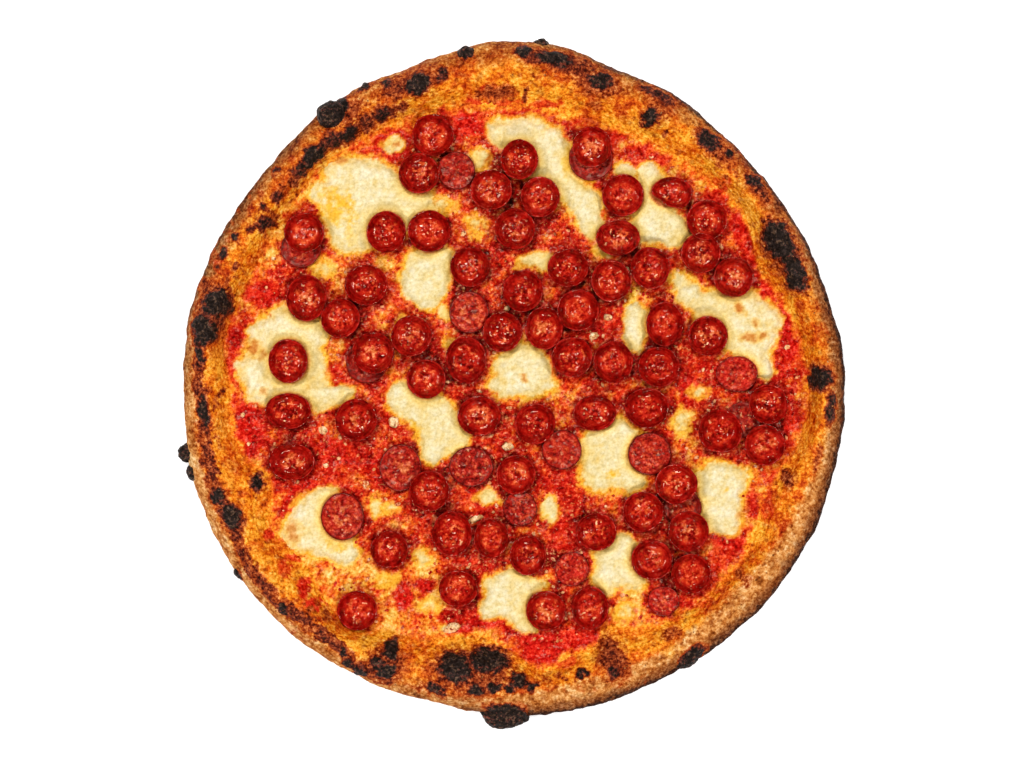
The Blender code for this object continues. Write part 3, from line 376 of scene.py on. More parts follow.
# Slices that are one solid, an earlier one under a later one
CLUSTERS = [
    (3, 2, 1, 7, 6, 5, 4), (9, 8), (14, 13, 12), (16, 15), (17, 18), (20, 21, 22), (25, 24, 23),
    (28, 32), (29, 31, 33, 34, 37, 36, 39), (40, 42), (78, 61, 62, 63, 64), (65, 66), (47, 48),
    (55, 56), (53, 51), (70, 71), (79, 58, 59, 60),
]
# Dull slices with a rough face and hardly any curl
DULL = (3, 28, 43, 47, 49, 53, 54, 56, 61, 67, 77)
DULL_DEPTH = 3.4
CUP_DEPTH = 5.2
CUP_DEPTH_SPREAD = 0.5
FLAT_THICKNESS = 2.0
SLICE_TURNS = 84
# Slices that lie under another one, painted a little darker as shade
COVERED = (9, 16, 25, 78, 79)
# Lift of a slice that lies on a flat one nearer than this, and of each next one in a pile
FLAT_LIFT = 1.3
FLAT_REACH = 15.0
PILE_LIFT = 0.45
# How deep a slice sinks into the toppings, and how far it may lean, as a slope
SLICE_SINK = 0.1
SLICE_LEAN = 0.05
# Relief of a face, coarse and fine, in millimetres
FACE_RELIEF = (0.36, 0.16)
# Inside of a cup's wall: how much smoother it is, its share of the half size, half width
SMOOTH_WALL = (0.85, 0.62, 0.15)
# Wobble of a slice's edge: amount and waves of each layer
EDGE_WOBBLE = ((0.026, 1.3), (0.014, 4.0))
# Profiles from under the middle, round the rim, to the middle of the face:
# share of the half size and height share of the depth, or of the thickness
CUP_PROFILE = [
    (0.30, 0), (0.62, 0), (0.76, 0.05), (0.87, 0.24), (0.94, 0.52), (0.98, 0.78), (1, 0.91),
    (1, 0.98), (0.988, 1.02), (0.968, 1.02), (0.942, 0.99), (0.912, 0.93), (0.878, 0.85),
    (0.842, 0.765), (0.804, 0.68), (0.764, 0.60), (0.722, 0.525), (0.678, 0.455), (0.632, 0.40),
    (0.584, 0.355), (0.534, 0.32), (0.482, 0.295), (0.43, 0.28), (0.378, 0.27), (0.326, 0.265),
    (0.274, 0.265), (0.222, 0.27), (0.17, 0.275), (0.118, 0.28), (0.06, 0.28),
]
DULL_PROFILE = [
    (0.40, 0), (0.80, 0.02), (0.92, 0.16), (0.98, 0.42), (1, 0.66), (0.99, 0.78), (0.965, 0.85),
    (0.93, 0.86), (0.89, 0.82), (0.84, 0.77), (0.78, 0.74), (0.72, 0.72), (0.66, 0.71),
    (0.60, 0.71), (0.54, 0.71), (0.48, 0.72), (0.42, 0.72), (0.36, 0.73), (0.30, 0.73),
    (0.24, 0.74), (0.18, 0.74), (0.12, 0.74), (0.06, 0.74),
]
FLAT_PROFILE = [
    (0.50, 0), (0.88, 0), (0.97, 0.35), (1, 0.75), (0.99, 0.98), (0.96, 1.06), (0.92, 1),
    (0.86, 0.90), (0.78, 0.84), (0.70, 0.82), (0.60, 0.80), (0.50, 0.80), (0.40, 0.80),
    (0.30, 0.80), (0.20, 0.80), (0.10, 0.80),
]
# Bends of the folded slice's edge: angle in degrees, half width in radians, amount
FOLD_BENDS = ((222, 0.5, -0.26), (300, 0.45, 0.16))

# Pale bits of curd or garlic: place, half sizes, turn in degrees
PALE_BITS = [
    (-59, -19, 2.5, 2.9, 10), (-1.5, -31.5, 2.8, 2.1, 0), (-18, -68, 4.4, 1.6, 28),
    (-24, 75.5, 1.5, 1.2, 40), (-2, 38, 1.5, 1.3, 0), (41.5, 24, 2.6, 1.9, 20),
    (-119.5, 63, 1.3, 1.1, 0), (138.7, 18.5, 1.4, 1.2, 0), (-94.5, -23.5, 2.2, 2.4, 60),
    (-93, -41, 1.3, 1.2, 0), (-132, -30, 1.3, 1.1, 0), (-134.7, -15.5, 1.3, 1.1, 0),
    (-29.5, -122.5, 4, 2.2, 20), (58, 57.5, 1.6, 1.4, 0), (48.5, 33.5, 2.2, 1.8, 0),
]
# Crumbs and bits strewn over the toppings, and the share of them that is curd
CRUMB_COUNT = 900
CURD_SHARE = 0.30
# Flakes on the rim
FLAKE_COUNT = 220
# Dents of round lumps: amount, waves in a radius, step from one lump to the next
BUBBLE_DENTS = ((0.14, 1.4, 5), (0.07, 4, 9), (0.03, 11, 3))
CRUMB_DENTS = ((0.30, 1.5, 2.3), (0.10, 4, 1.7))


# Patterns of noise: size in millimetres, number of its own, layers
PATTERNS = {
    "crag": (CRAG_SIZE, 51, 1), "fine_crag": (FINE_CRAG_SIZE, 52, 1),
    "dough": (4.2, 53, 2), "fine_dough": (1.7, 54, 2), "char": (2.4, 55, 2),
    "golden_broad": (17.0, 41, 3), "golden_middle": (6.0, 42, 3), "golden_fine": (2.2, 43, 2),
    "rim_wander": (8.0, 85, 2), "fine_wander": (2.6, 86, 2),
    "ragged": (2.6, 35, 3), "ridge": (7.0, 36, 2), "freckle": (3.2, 37, 2),
    "bubble": (3.0, 61, 3), "crumb": (2.4, 97, 2),
    "broad": (15.0, 75, 3), "middle": (5.0, 76, 3), "fine": (2.1, 77, 2),
    "curd": (3.1, 78, 2), "strand": (2.4, 79, 2), "fringe": (6.0, 80, 2),
    "ripple": (SAUCE_RIPPLE_SIZE, 81, 1), "bits": (1.3, 82, 1),
    "meat": (4.5, 91, 3), "fine_meat": (1.7, 92, 2), "blotch": (5.0, 93, 2),
    "face": (3.0, 95, 2), "fine_face": (1.3, 96, 1),
}
# Uneven flow of the melt and of the char: amounts, sizes and first number of the noise
FLOW_WARP = ((2.2, 0.8), (9.0, 2.8), 71)
BURN_WARP = ((1.7, 0.7), (5.0, 1.8), 31)

# Colours as they show: red, green and blue up to 255
COLOURS = {
    # The first colour, of pale specks on the char, is partly painted glints
    "char_speck_and_glint": (112, 82, 62), "brown": (188, 78, 24), "scorched": (118, 38, 20),
    "charred": (36, 27, 24), "underside": (206, 148, 86), "flour_below": (238, 200, 146),
    "baked_below": (160, 92, 46), "spot_edge": (124, 66, 34), "spot": (48, 33, 27),
    # The dark side and dark edge colours below are partly painted shade
    "dark_side": (116, 58, 26), "dark_edge": (50, 24, 14), "speckle": (140, 66, 28),
    "oil_smear": (255, 166, 46), "sauce_smear": (214, 34, 14),
    "pale_fleck": (236, 146, 84), "dark_fleck": (138, 18, 10), "curd": (240, 172, 108),
    "strand": (166, 22, 12), "melt_edge": (242, 170, 44), "oil_stain": (240, 178, 44),
    # Painted shade and a painted contact shadow on the cheese round the slices; the orange beside
    # them is fat
    "painted_shade_near_slice": (250, 204, 96), "beside_slice": (236, 160, 60), "painted_contact_shadow": (170, 62, 30),
    "browned_round": (236, 176, 70), "browned": (188, 92, 22),
    "fat": (226, 92, 44), "fat_lump": (244, 176, 124), "dark_meat": (96, 6, 4),
    # The last colour below, for the rim, is a painted highlight
    "pale_fat": (222, 126, 66), "flat_face": (186, 20, 10), "painted_rim_highlight": (206, 66, 50),
    "meat_edge": (110, 8, 6), "meat_below": (84, 7, 7),
}
# Runs of colour: value, then red, green and blue, at each stop
RAMPS = {
    "golden": [(0.0, 184, 58, 10), (0.24, 222, 92, 14), (0.50, 236, 120, 20),
               (0.76, 250, 144, 28), (1.0, 255, 168, 44)],
    "crest": [(0.0, 152, 58, 14), (0.3, 204, 94, 24), (0.6, 234, 130, 40),
              (1.0, 248, 172, 78)],
    "flour": [(0.0, 156, 84, 32), (0.3, 206, 124, 54), (0.65, 232, 158, 84),
              (1.0, 248, 198, 132)],
    "toasted": [(0.0, 96, 40, 18), (0.5, 150, 70, 26), (1.0, 206, 120, 54)],
    "bubble": [(0.0, 92, 46, 26), (0.6, 140, 78, 40), (1.2, 190, 120, 70)],
    "bran": [(0.0, 92, 46, 24), (0.5, 140, 74, 34), (1.0, 196, 124, 66)],
    "tomato": [(0.0, 150, 8, 5), (0.5, 198, 17, 10), (1.0, 224, 44, 22)],
    "sauce": [(-0.12, 118, 8, 5), (0.06, 168, 15, 8), (0.22, 200, 30, 12), (0.36, 216, 56, 17),
              (0.50, 230, 92, 22), (0.66, 238, 128, 34), (0.82, 241, 160, 54),
              (1.0, 242, 184, 84), (1.2, 242, 204, 122)],
    "cheese": [(0.0, 228, 180, 86), (0.30, 230, 198, 122), (0.65, 232, 210, 152),
               (1.1, 238, 226, 190)],
    "curd_bits": [(0.0, 222, 140, 84), (0.5, 238, 192, 134), (1.0, 242, 218, 174)],
    "curd_crumbs": [(0.0, 222, 112, 62), (0.5, 234, 152, 98), (1.0, 244, 200, 150)],
    "tomato_bits": [(0.0, 140, 12, 8), (0.5, 192, 24, 14), (1.0, 222, 56, 28)],
    "meat_face": [(0.0, 126, 7, 4), (0.35, 168, 17, 8), (0.65, 192, 38, 16), (1.0, 218, 78, 36)],
    "meat_wall": [(0.0, 112, 5, 3), (0.5, 150, 9, 5), (1.0, 178, 18, 9)],
    "dull_face": [(0.0, 120, 6, 4), (0.4, 154, 12, 6), (0.8, 180, 32, 14), (1.1, 204, 72, 36)],
}
# Warm tint of the light off oily surfaces
OIL_TINT = (1.0, 0.76, 0.56)

# Browning and char: where each begins, where it is full, and its colour
CHAR_STEPS = ((0.10, 0.40, "brown"), (0.32, 0.60, "scorched"), (0.54, 0.82, "charred"))
# Where char may begin at all, and what the grain multiplies the burn by at its two ends
BURN_START = (0.02, 0.12)
BURN_BREAK = (1.30, 0.70)
# Flecks: patterns a metre and their detail, where each begins and is full, strength, colour
UNDERSIDE_FLECKS = (
    (60.0, 2.0, 0.42, 0.60, 0.9, "flour_below"), (110.0, 2.0, 0.52, 0.62, 0.9, "baked_below"),
    (66.0, 2.0, 0.545, 0.60, 0.9, "spot_edge"), (66.0, 2.0, 0.60, 0.66, 0.9, "spot"),
)
# Pale specks on the char: brown specks and painted glints
CHAR_SPECK_AND_GLINT_FLECKS = ((560.0, 1.5, 0.56, 0.66, 0.55, "char_speck_and_glint"),)
SAUCE_FLECKS = (
    (640.0, 2.0, 0.59, 0.67, 1.0, "pale_fleck"), (640.0, 2.0, 0.44, 0.34, 1.0, "dark_fleck"),
)
MEAT_FLECKS = (
    (340.0, 2.5, 0.55, 0.65, 0.9, "fat"), (420.0, 1.5, 0.66, 0.70, 1.0, "fat_lump"),
    (340.0, 2.5, 0.44, 0.32, 0.6, "dark_meat"),
)
# How far the wrinkles of a wall swing its grain
WRINKLE_SWING = 0.30


# Noise and other helpers over arrays of places

TABLE_SIZE = 256
_numbers = np.random.default_rng(SEED)
ORDER = np.tile(_numbers.permutation(TABLE_SIZE), 3)
SLOPES = _numbers.normal(size=(TABLE_SIZE, 3))
SLOPES /= np.linalg.norm(SLOPES, axis=1)[:, None]
SCATTER = _numbers.random((TABLE_SIZE, 3))


def ease(t):
    return t * t * t * (t * (t * 6.0 - 15.0) + 10.0)


def smooth(low, high, value):
    """0 below low, 1 above high, and a soft step between them."""
    t = np.clip((value - low) / (high - low), 0.0, 1.0)
    return t * t * (3.0 - 2.0 * t)


def lattice_noise(x, y, z):
    """Gradient noise, about -1 to 1."""
    cells_at = [np.floor(np.asarray(c, float)).astype(int) for c in (x, y, z)]
    part = [np.asarray(c, float) - f for c, f in zip((x, y, z), cells_at)]
    weight = [ease(p) for p in part]
    total = 0.0
    for i in (0, 1):
        share_x = weight[0] if i else 1.0 - weight[0]
        hash_x = ORDER[(cells_at[0] + i) % TABLE_SIZE]
        for j in (0, 1):
            share_xy = share_x * (weight[1] if j else 1.0 - weight[1])
            hash_y = ORDER[hash_x + ((cells_at[1] + j) % TABLE_SIZE)]
            for k in (0, 1):
                share = share_xy * (weight[2] if k else 1.0 - weight[2])
                slope = SLOPES[ORDER[hash_y + ((cells_at[2] + k) % TABLE_SIZE)]]
                dot = slope[..., 0] * (part[0] - i) + slope[..., 1] * (part[1] - j)
                total = total + share * (dot + slope[..., 2] * (part[2] - k))
    return 1.6 * total


def rough(x, y, size, number, layers=3, z=0.0):
    """Layered noise of a size in millimetres. Each number is a pattern of its own."""
    total = 0.0
    amount = 1.0
    for layer in range(layers):
        deep = z / size + 7.31 * number + 3.7 * layer
        total = total + amount * lattice_noise(x / size, y / size, deep)
        size *= 0.5
        amount *= 0.5
    return total


def pattern(name, x, y, z=0.0):
    """Layered noise of one of the named patterns."""
    size, number, layers = PATTERNS[name]
    return rough(x, y, size, number, layers, z)


def warped(x, y, amounts, sizes, number):
    """Place moved by noise of two sizes."""
    moved = []
    for way, start in enumerate((x, y)):
        first = number + 2 * way
        moved.append(start + amounts[0] * rough(x, y, sizes[0], first)
                     + amounts[1] * rough(x, y, sizes[1], first + 1, 2))
    return moved


def cells(x, y, size, number):
    """Distance to the nearest scattered point in cell sizes, and a number of that point."""
    x = x / size
    y = y / size
    cell_x = np.floor(x).astype(int)
    cell_y = np.floor(y).astype(int)
    best = np.full(x.shape, 9.0)
    own = np.zeros(x.shape)
    for i in (-1, 0, 1):
        for j in (-1, 0, 1):
            row = ORDER[(cell_x + i + 17 * number) % TABLE_SIZE]
            point = ORDER[row + ((cell_y + j) % TABLE_SIZE)]
            away = np.hypot(x - cell_x - i - SCATTER[point, 0],
                            y - cell_y - j - SCATTER[point, 1])
            nearer = away < best
            best = np.where(nearer, away, best)
            own = np.where(nearer, SCATTER[point, 2], own)
    return best, own


def oval(x, y, place):
    """Squared distance from an oval's middle, 1 at its edge."""
    return ((x - place[0]) / place[2]) ** 2 + ((y - place[1]) / place[3]) ** 2


def polar(x, y):
    """Angle in degrees and radius of a place, round the middle of the pizza."""
    angle = np.degrees(np.arctan2(y - CENTRE[1], x - CENTRE[0])) % 360.0
    return angle, np.hypot(x - CENTRE[0], y - CENTRE[1])


def from_polar(angle, radius):
    """Place of an angle in degrees and a radius."""
    turn = np.radians(angle)
    return CENTRE[0] + radius * np.cos(turn), CENTRE[1] + radius * np.sin(turn)


def turned_from(angle, middle):
    """Degrees from a direction to an angle, from -180 to 180."""
    return (angle - middle + 180.0) % 360.0 - 180.0


def round_the_rim(table, angle):
    """Value at an angle of a table of (angle in degrees, value)."""
    return np.interp(angle, [row[0] for row in table], [row[1] for row in table], period=360.0)


def shade(name):
    return np.array(COLOURS[name], float) / 255.0


def mix(first, second, share):
    share = np.asarray(share)[..., None]
    return first * (1.0 - share) + second * share


def ramp(value, name):
    """Colour along one of the named runs of colour."""
    at = [stop[0] for stop in RAMPS[name]]
    return np.stack([np.interp(value, at, [stop[k] / 255.0 for stop in RAMPS[name]])
                     for k in (1, 2, 3)], axis=-1)


def linear(colour):
    """Display colour to the linear colour of a shader, as it looks under the lamps."""
    colour = np.clip(colour, 0.0, 1.0)
    share = np.where(colour <= 0.04045, colour / 12.92, ((colour + 0.055) / 1.055) ** 2.4)
    return PAINT_SHARE * share


def stained(colour, name, places, x, y, fade, rag, amount=1.0):
    """Colour under ragged ovals of another. fade is where an oval ends and where it is full."""
    for place in places:
        share = amount * place[4] * smooth(fade[0], fade[1], oval(x, y, place) + rag)
        colour = mix(colour, shade(name), share)
    return colour


def make_mesh(name, points, faces, material, tint, values):
    """Object from points in the plan, arrays of faces, and colours and values at the points."""
    mesh = bpy.data.meshes.new(name)
    mesh.vertices.add(len(points))
    where = (points + np.array([SHIFT[0], SHIFT[1], 0.0])) * MM
    mesh.vertices.foreach_set("co", where.astype(np.float32).ravel())
    starts = []
    offset = 0
    for group in faces:
        starts.append(offset + np.arange(len(group)) * group.shape[1])
        offset += group.size
    mesh.loops.add(offset)
    corners = np.concatenate([group.ravel() for group in faces])
    mesh.loops.foreach_set("vertex_index", corners.astype(np.int32))
    mesh.polygons.add(sum(len(group) for group in faces))
    mesh.polygons.foreach_set("loop_start", np.concatenate(starts).astype(np.int32))
    mesh.update(calc_edges=True)
    mesh.shade_smooth()
    layer = mesh.color_attributes.new("tint", "FLOAT_COLOR", "POINT")
    rgba = np.concatenate([linear(tint), np.ones((len(points), 1))], axis=1)
    layer.data.foreach_set("color", rgba.astype(np.float32).ravel())
    for key, value in values.items():
        shape = (len(points),) + np.shape(value)[1:]
        value = np.broadcast_to(np.asarray(value, np.float32), shape)
        flat = value.ndim == 1
        layer = mesh.attributes.new(key, "FLOAT" if flat else "FLOAT_VECTOR", "POINT")
        layer.data.foreach_set("value" if flat else "vector", np.ascontiguousarray(value).ravel())
    mesh.materials.append(material)
    made = bpy.data.objects.new(name, mesh)
    bpy.context.scene.collection.objects.link(made)
    return made


def finish_piece(piece, nodes=()):
    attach(piece, "root")
    if nodes:
        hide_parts(*nodes)


def ring_faces(rings, turns):
    """Quads between rings of points, and fans to one point below and one above them."""
    ring, step = np.meshgrid(np.arange(rings - 1), np.arange(turns), indexing="ij")
    following = (step + 1) % turns
    quads = np.stack([ring * turns + step, ring * turns + following,
                      (ring + 1) * turns + following, (ring + 1) * turns + step], axis=-1)
    around = np.arange(turns)
    after = (around + 1) % turns
    low = np.full(turns, rings * turns)
    last = (rings - 1) * turns
    fans = np.concatenate([np.stack([low, after, around], axis=-1),
                           np.stack([low + 1, last + around, last + after], axis=-1)])
    return [quads.reshape(-1, 4), fans]


def with_ends(values, low, high):
    """Values on the rings, and those of the points below and above them."""
    return np.append(values.ravel(), (low, high))


# Materials

def new_node(tree, kind, values=None, **settings):
    """Shader node with its settings and input values."""
    made = tree.nodes.new("ShaderNode" + kind)
    for key, value in settings.items():
        setattr(made, key, value)
    for key, value in (values or {}).items():
        made.inputs[key].default_value = value
    return made


def attribute(tree, name, output="Fac"):
    return new_node(tree, "Attribute", attribute_name=name).outputs[output]


def noise(tree, place, scale, detail=3.0):
    made = new_node(tree, "TexNoise", {"Scale": scale, "Detail": detail, "Roughness": 0.65})
    tree.links.new(place, made.inputs["Vector"])
    return made.outputs["Fac"]


def maths(tree, operation, first, second):
    """Sum, product or other result of a socket with a socket or number."""
    made = new_node(tree, "Math", operation=operation)
    for socket, value in zip(made.inputs, (first, second)):
        if isinstance(value, float):
            socket.default_value = value
        else:
            tree.links.new(value, socket)
    return made.outputs[0]


def between(tree, value, low, high, to_low=0.0, to_high=1.0):
    """A value's place between low and high, kept within to_low and to_high."""
    made = new_node(tree, "MapRange", {"From Min": low, "From Max": high, "To Min": to_low,
                                       "To Max": to_high})
    tree.links.new(value, made.inputs["Value"])
    return made.outputs[0]


def blended(tree, colour, name, share):
    """A colour socket mixed with a named colour."""
    made = new_node(tree, "Mix", data_type="RGBA")
    made.inputs["B"].default_value = (*linear(shade(name)), 1.0)
    tree.links.new(colour, made.inputs["A"])
    tree.links.new(share, made.inputs["Factor"])
    return made.outputs["Result"]


def flecked(tree, colour, place, flecks, mask):
    """A colour socket with flecks over it, as far as the mask lets them show."""
    for scale, detail, low, high, strength, name in flecks:
        share = between(tree, noise(tree, place, scale, detail), low, high, 0.0, strength)
        colour = blended(tree, colour, name, maths(tree, "MULTIPLY", share, mask))
    return colour


def start_material(name, finish):
    """Material with its shader, the place of a point and the fine grain there, about 1."""
    material = bpy.data.materials.new(name)
    material.use_nodes = True
    tree = material.node_tree
    shader = tree.nodes["Principled BSDF"]
    shader.inputs["Specular IOR Level"].default_value = finish[1]
    shader.inputs["Specular Tint"].default_value = (*OIL_TINT, 1.0)
    place = tree.nodes.new("ShaderNodeTexCoord").outputs["Object"]
    grain = maths(tree, "ADD", noise(tree, place, COARSE_GRAIN), noise(tree, place, FINE_GRAIN))
    return material, tree, shader, place, grain


def finish_material(tree, shader, colour, grain, height, finish):
    """Grain in the colour and the gloss, then the relief and the links to the shader."""
    swing = maths(tree, "MULTIPLY",
                  between(tree, grain, *GRAIN_RANGE, -GRAIN_SWING, GRAIN_SWING),
                  attribute(tree, "grain"))
    scaled = new_node(tree, "VectorMath", operation="SCALE")
    tree.links.new(colour, scaled.inputs[0])
    tree.links.new(between(tree, swing, -1.0, 1.0, *GRAIN_SCALE), scaled.inputs["Scale"])
    deeper = new_node(tree, "Gamma")
    tree.links.new(scaled.outputs[0], deeper.inputs["Color"])
    tree.links.new(between(tree, swing, -1.0, 1.0, *GRAIN_GAMMA), deeper.inputs["Gamma"])
    tree.links.new(deeper.outputs[0], shader.inputs["Base Color"])
    gloss = maths(tree, "ADD", attribute(tree, "gloss"),
                  between(tree, grain, 0.7, 1.3, *GRAIN_GLOSS))
    gloss = maths(tree, "MAXIMUM", gloss, LEAST_ROUGHNESS)
    tree.links.new(gloss, shader.inputs["Roughness"])
    relief = new_node(tree, "Bump", {"Distance": finish[0]})
    tree.links.new(height, relief.inputs["Height"])
    tree.links.new(relief.outputs[0], shader.inputs["Normal"])


def wet_relief(tree, place, grain, wet):
    """Soft bumps with a share of the fine grain on them."""
    scale, share = wet
    soft = maths(tree, "MULTIPLY", noise(tree, place, scale, 0.6), attribute(tree, "grain"))
    return maths(tree, "ADD", soft, maths(tree, "MULTIPLY", grain, share))


def crust_material():
    """Baked dough, with browning and char that break up into fine specks."""
    material, tree, shader, place, grain = start_material("baked_dough", DOUGH_FINISH)
    burn_here = attribute(tree, "burnt")
    broken = between(tree, grain, *GRAIN_RANGE, *BURN_BREAK)
    burnt = maths(tree, "MULTIPLY", burn_here, broken)
    only = between(tree, burn_here, *BURN_START)
    colour = attribute(tree, "tint", "Color")
    colour = flecked(tree, colour, place, UNDERSIDE_FLECKS, attribute(tree, "under"))
    for low, high, name in CHAR_STEPS:
        share = maths(tree, "MULTIPLY", between(tree, burnt, low, high), only)
        colour = blended(tree, colour, name, share)
    # Pale specks on the char, partly painted glints
    colour = flecked(tree, colour, place, CHAR_SPECK_AND_GLINT_FLECKS, share)
    finish_material(tree, shader, colour, grain, grain, DOUGH_FINISH)
    return material


def topping_material():
    """Sauce and cheese, with pale and dark flecks where it is not smooth."""
    material, tree, shader, place, grain = start_material("sauce_and_cheese", TOPPING_FINISH)
    colour = attribute(tree, "tint", "Color")
    colour = flecked(tree, colour, place, SAUCE_FLECKS, attribute(tree, "curdy"))
    relief = wet_relief(tree, place, grain, WET_GRAIN)
    finish_material(tree, shader, colour, grain, relief, TOPPING_FINISH)
    return material


def pepperoni_material():
    """Cured meat: deep red with flecks of fat, wrinkled round its wall, oily on top."""
    material, tree, shader, place, grain = start_material("cured_meat", MEAT_FINISH)
    colour = attribute(tree, "tint", "Color")
    colour = flecked(tree, colour, place, MEAT_FLECKS, attribute(tree, "fatty"))
    wrinkles = noise(tree, attribute(tree, "around", "Vector"), 1.0, 2.0)
    wrinkles = between(tree, wrinkles, 0.3, 0.7, -WRINKLE_SWING, WRINKLE_SWING)
    wrinkles = maths(tree, "MULTIPLY", wrinkles, attribute(tree, "wall"))
    grain = maths(tree, "ADD", grain, wrinkles)
    relief = wet_relief(tree, place, grain, MEAT_GRAIN)
    finish_material(tree, shader, colour, grain, relief, MEAT_FINISH)
    return material


# Crust

def swell(angle, base, swells):
    """Base value with a smooth swelling round each of some angles."""
    total = np.full_like(angle, base)
    for centre, half_width, amount in swells:
        total = total + amount * np.exp(-(turned_from(angle, centre) / half_width) ** 2)
    return total


def rim_radius(angle):
    """Outer radius of the rim."""
    return swell(angle, RIM_RADIUS, RIM_SWELLS)


def recess_radius(angle):
    """Radius where the slope ends and the toppings begin."""
    return swell(angle, RECESS_RADIUS, RECESS_SWELLS)


def puff_height(angle, radius):
    """How much the puffs raise the rim at a place."""
    total = 0.0
    for puff_angle, puff_radius, half_length, half_width, height in PUFFS:
        round_way = np.radians(turned_from(angle, puff_angle)) * puff_radius
        spread = (round_way / half_length) ** 2 + ((radius - puff_radius) / half_width) ** 2
        total = total + height * np.exp(-1.6 * spread)
    return total


def crust_stations(angle):
    """Radius and height of the crust's profile at every angle, station by station."""
    outer = rim_radius(angle)
    inner = recess_radius(angle)
    crest = swell(angle, CREST_HEIGHT, CREST_SWELLS)
    crest_radius = outer - CREST_INSET
    slope = crest_radius - inner
    rise = crest - LIP_HEIGHT
    stations = [(outer - inset, height + 0.0 * angle) for inset, height in RIM_SIDE]
    stations += [(outer - inset, share * crest) for inset, share in RIM_SHOULDER]
    stations.append((crest_radius, crest))
    for way, share in INNER_SLOPE:
        stations.append((crest_radius - way * slope, LIP_HEIGHT + share * rise))
    stations.append((inner, LIP_HEIGHT + 0.0 * angle))
    stations.append((inner - LIP_RUN, BED_HEIGHT + 0.0 * angle))
    return np.array(stations)


def crust_rings(angle):
    """Smooth rings through the stations, each as (radius, height) at every angle."""
    stations = crust_stations(angle)
    padded = np.concatenate([stations[:1], stations, stations[-1:]])
    rings = []
    for i, steps in enumerate(CRUST_STEPS):
        before, start, end, after = padded[i:i + 4]
        for step in range(steps):
            t = step / steps
            rings.append(0.5 * (2.0 * start + (end - before) * t
                                + (2.0 * before - 5.0 * start + 4.0 * end - after) * t ** 2
                                + (3.0 * start - before - 3.0 * end + after) * t ** 3))
    rings.append(stations[-1])
    return np.array(rings)


def rim_height(angle, radius):
    """Height of the rim's top at one angle and radius."""
    angles = np.array([angle])
    rings = crust_rings(angles)[:, :, 0]
    top = rings[rings[:, 0] < float(rim_radius(angles)[0]) - 0.2]
    top = top[top[:, 1] > LIP_HEIGHT]
    order = np.argsort(top[:, 0])
    height = float(np.interp(radius, top[order, 0], top[order, 1]))
    return height + float(puff_height(angles, np.array([radius]))[0])


def ridge_share(x, y):
    """1 on the dark ridge line, falling to 0 beside it."""
    best = np.full(x.shape, 99.0)
    for (x0, y0), (x1, y1) in zip(RIDGE, RIDGE[1:]):
        run = (x1 - x0, y1 - y0)
        along = ((x - x0) * run[0] + (y - y0) * run[1]) / (run[0] ** 2 + run[1] ** 2)
        along = np.clip(along, 0.0, 1.0)
        best = np.minimum(best, np.hypot(x - x0 - along * run[0], y - y0 - along * run[1]))
    return np.clip(1.0 - best / RIDGE_HALF_WIDTH, 0.0, 1.0)


def rim_share(x, y, radius, inner):
    """0 on the toppings, 1 on bare dough, with a wandering edge between them."""
    wander = 3.4 * pattern("rim_wander", x, y) + 1.6 * pattern("fine_wander", x, y)
    return smooth(-2.0, 2.0, radius - inner + wander)


def golden_tint(x, y, height, inward):
    """Oil-stained dough of the inner slope, with its tone and the patterns in it."""
    broad = pattern("golden_broad", x, y, height)
    middle = pattern("golden_middle", x, y, height)
    fine = pattern("golden_fine", x, y, height)
    tone = 0.57 + 0.58 * broad + 0.46 * middle + 0.26 * fine
    return ramp(tone - 0.18 * (inward - 0.3), "golden"), tone, broad, middle, fine


def burn(x, y):
    """How burnt the crust is at a place: 0 not at all, 1 black."""
    warp_x, warp_y = warped(x, y, *BURN_WARP)
    ragged = pattern("ragged", x, y)
    total = 0.0 * x
    for place_x, place_y, half_round, half_across, dark in CHARS:
        out = math.atan2(place_y - CENTRE[1], place_x - CENTRE[0])
        away_x = warp_x - place_x
        away_y = warp_y - place_y
        across = away_x * math.cos(out) + away_y * math.sin(out)
        around = away_y * math.cos(out) - away_x * math.sin(out)
        away = np.sqrt((around / half_round) ** 2 + (across / half_across) ** 2)
        total = np.maximum(total, dark * smooth(1.65, 0.45, away + 0.22 * ragged))
    ridge = ridge_share(warp_x, warp_y)
    ridge = smooth(0.0, 0.55, ridge + 0.3 * ragged * (ridge > 0))
    broken = smooth(-0.5, 0.3, pattern("ridge", x, y))
    total = np.maximum(total, (0.44 + 0.18 * broken) * ridge)
    dotted = 0.0 * x
    for place in FRECKLES:
        dotted = np.maximum(dotted, smooth(1.5, 0.4, oval(x, y, place)))
    blotch = smooth(0.0, 0.7, pattern("freckle", x, y))
    return np.maximum(total, dotted * (0.10 + 0.34 * blotch))


def toasted(colour, angle, past, height, tone, middle, fine):
    """Colour browned towards the outer edge, and darker along that edge round part of the rim,
    partly as painted shade. past is how far a place lies past that edge.
    """
    # The outer edge is darker round part of the rim, and its last millimetres darker still, partly
    # as painted shade
    start, run = DARK_SIDE
    turned = (angle - start) % 360.0
    dark_side = smooth(0.0, 20.0, turned) * smooth(run, run - 18.0, turned)
    dark_side = dark_side + 0.6 * np.exp(-((angle - LEFT_SIDE[0]) / LEFT_SIDE[1]) ** 2)
    dark_side = np.clip(dark_side, 0.0, 1.0)
    under_edge = smooth(-8.0, -3.0, past + 2.0 * middle + 1.0 * fine)
    colour = mix(colour, shade("dark_side"), 0.85 * under_edge * dark_side)
    toast = round_the_rim(TOAST, angle)
    toast = toast * smooth(-15.0, -4.0, past + 5.0 * middle + 3.5 * fine)
    colour = mix(colour, ramp(tone, "toasted"), toast)
    last = smooth(-3.0, -1.0, past + 1.3 * fine + 0.8 * middle) * (height > 3.0)
    top_side = np.exp(-((turned - TOP_SIDE[0]) / TOP_SIDE[1]) ** 2)
    last = last * np.clip(dark_side + top_side, 0.0, 1.0)
    return mix(colour, shade("dark_edge"), 0.88 * last)


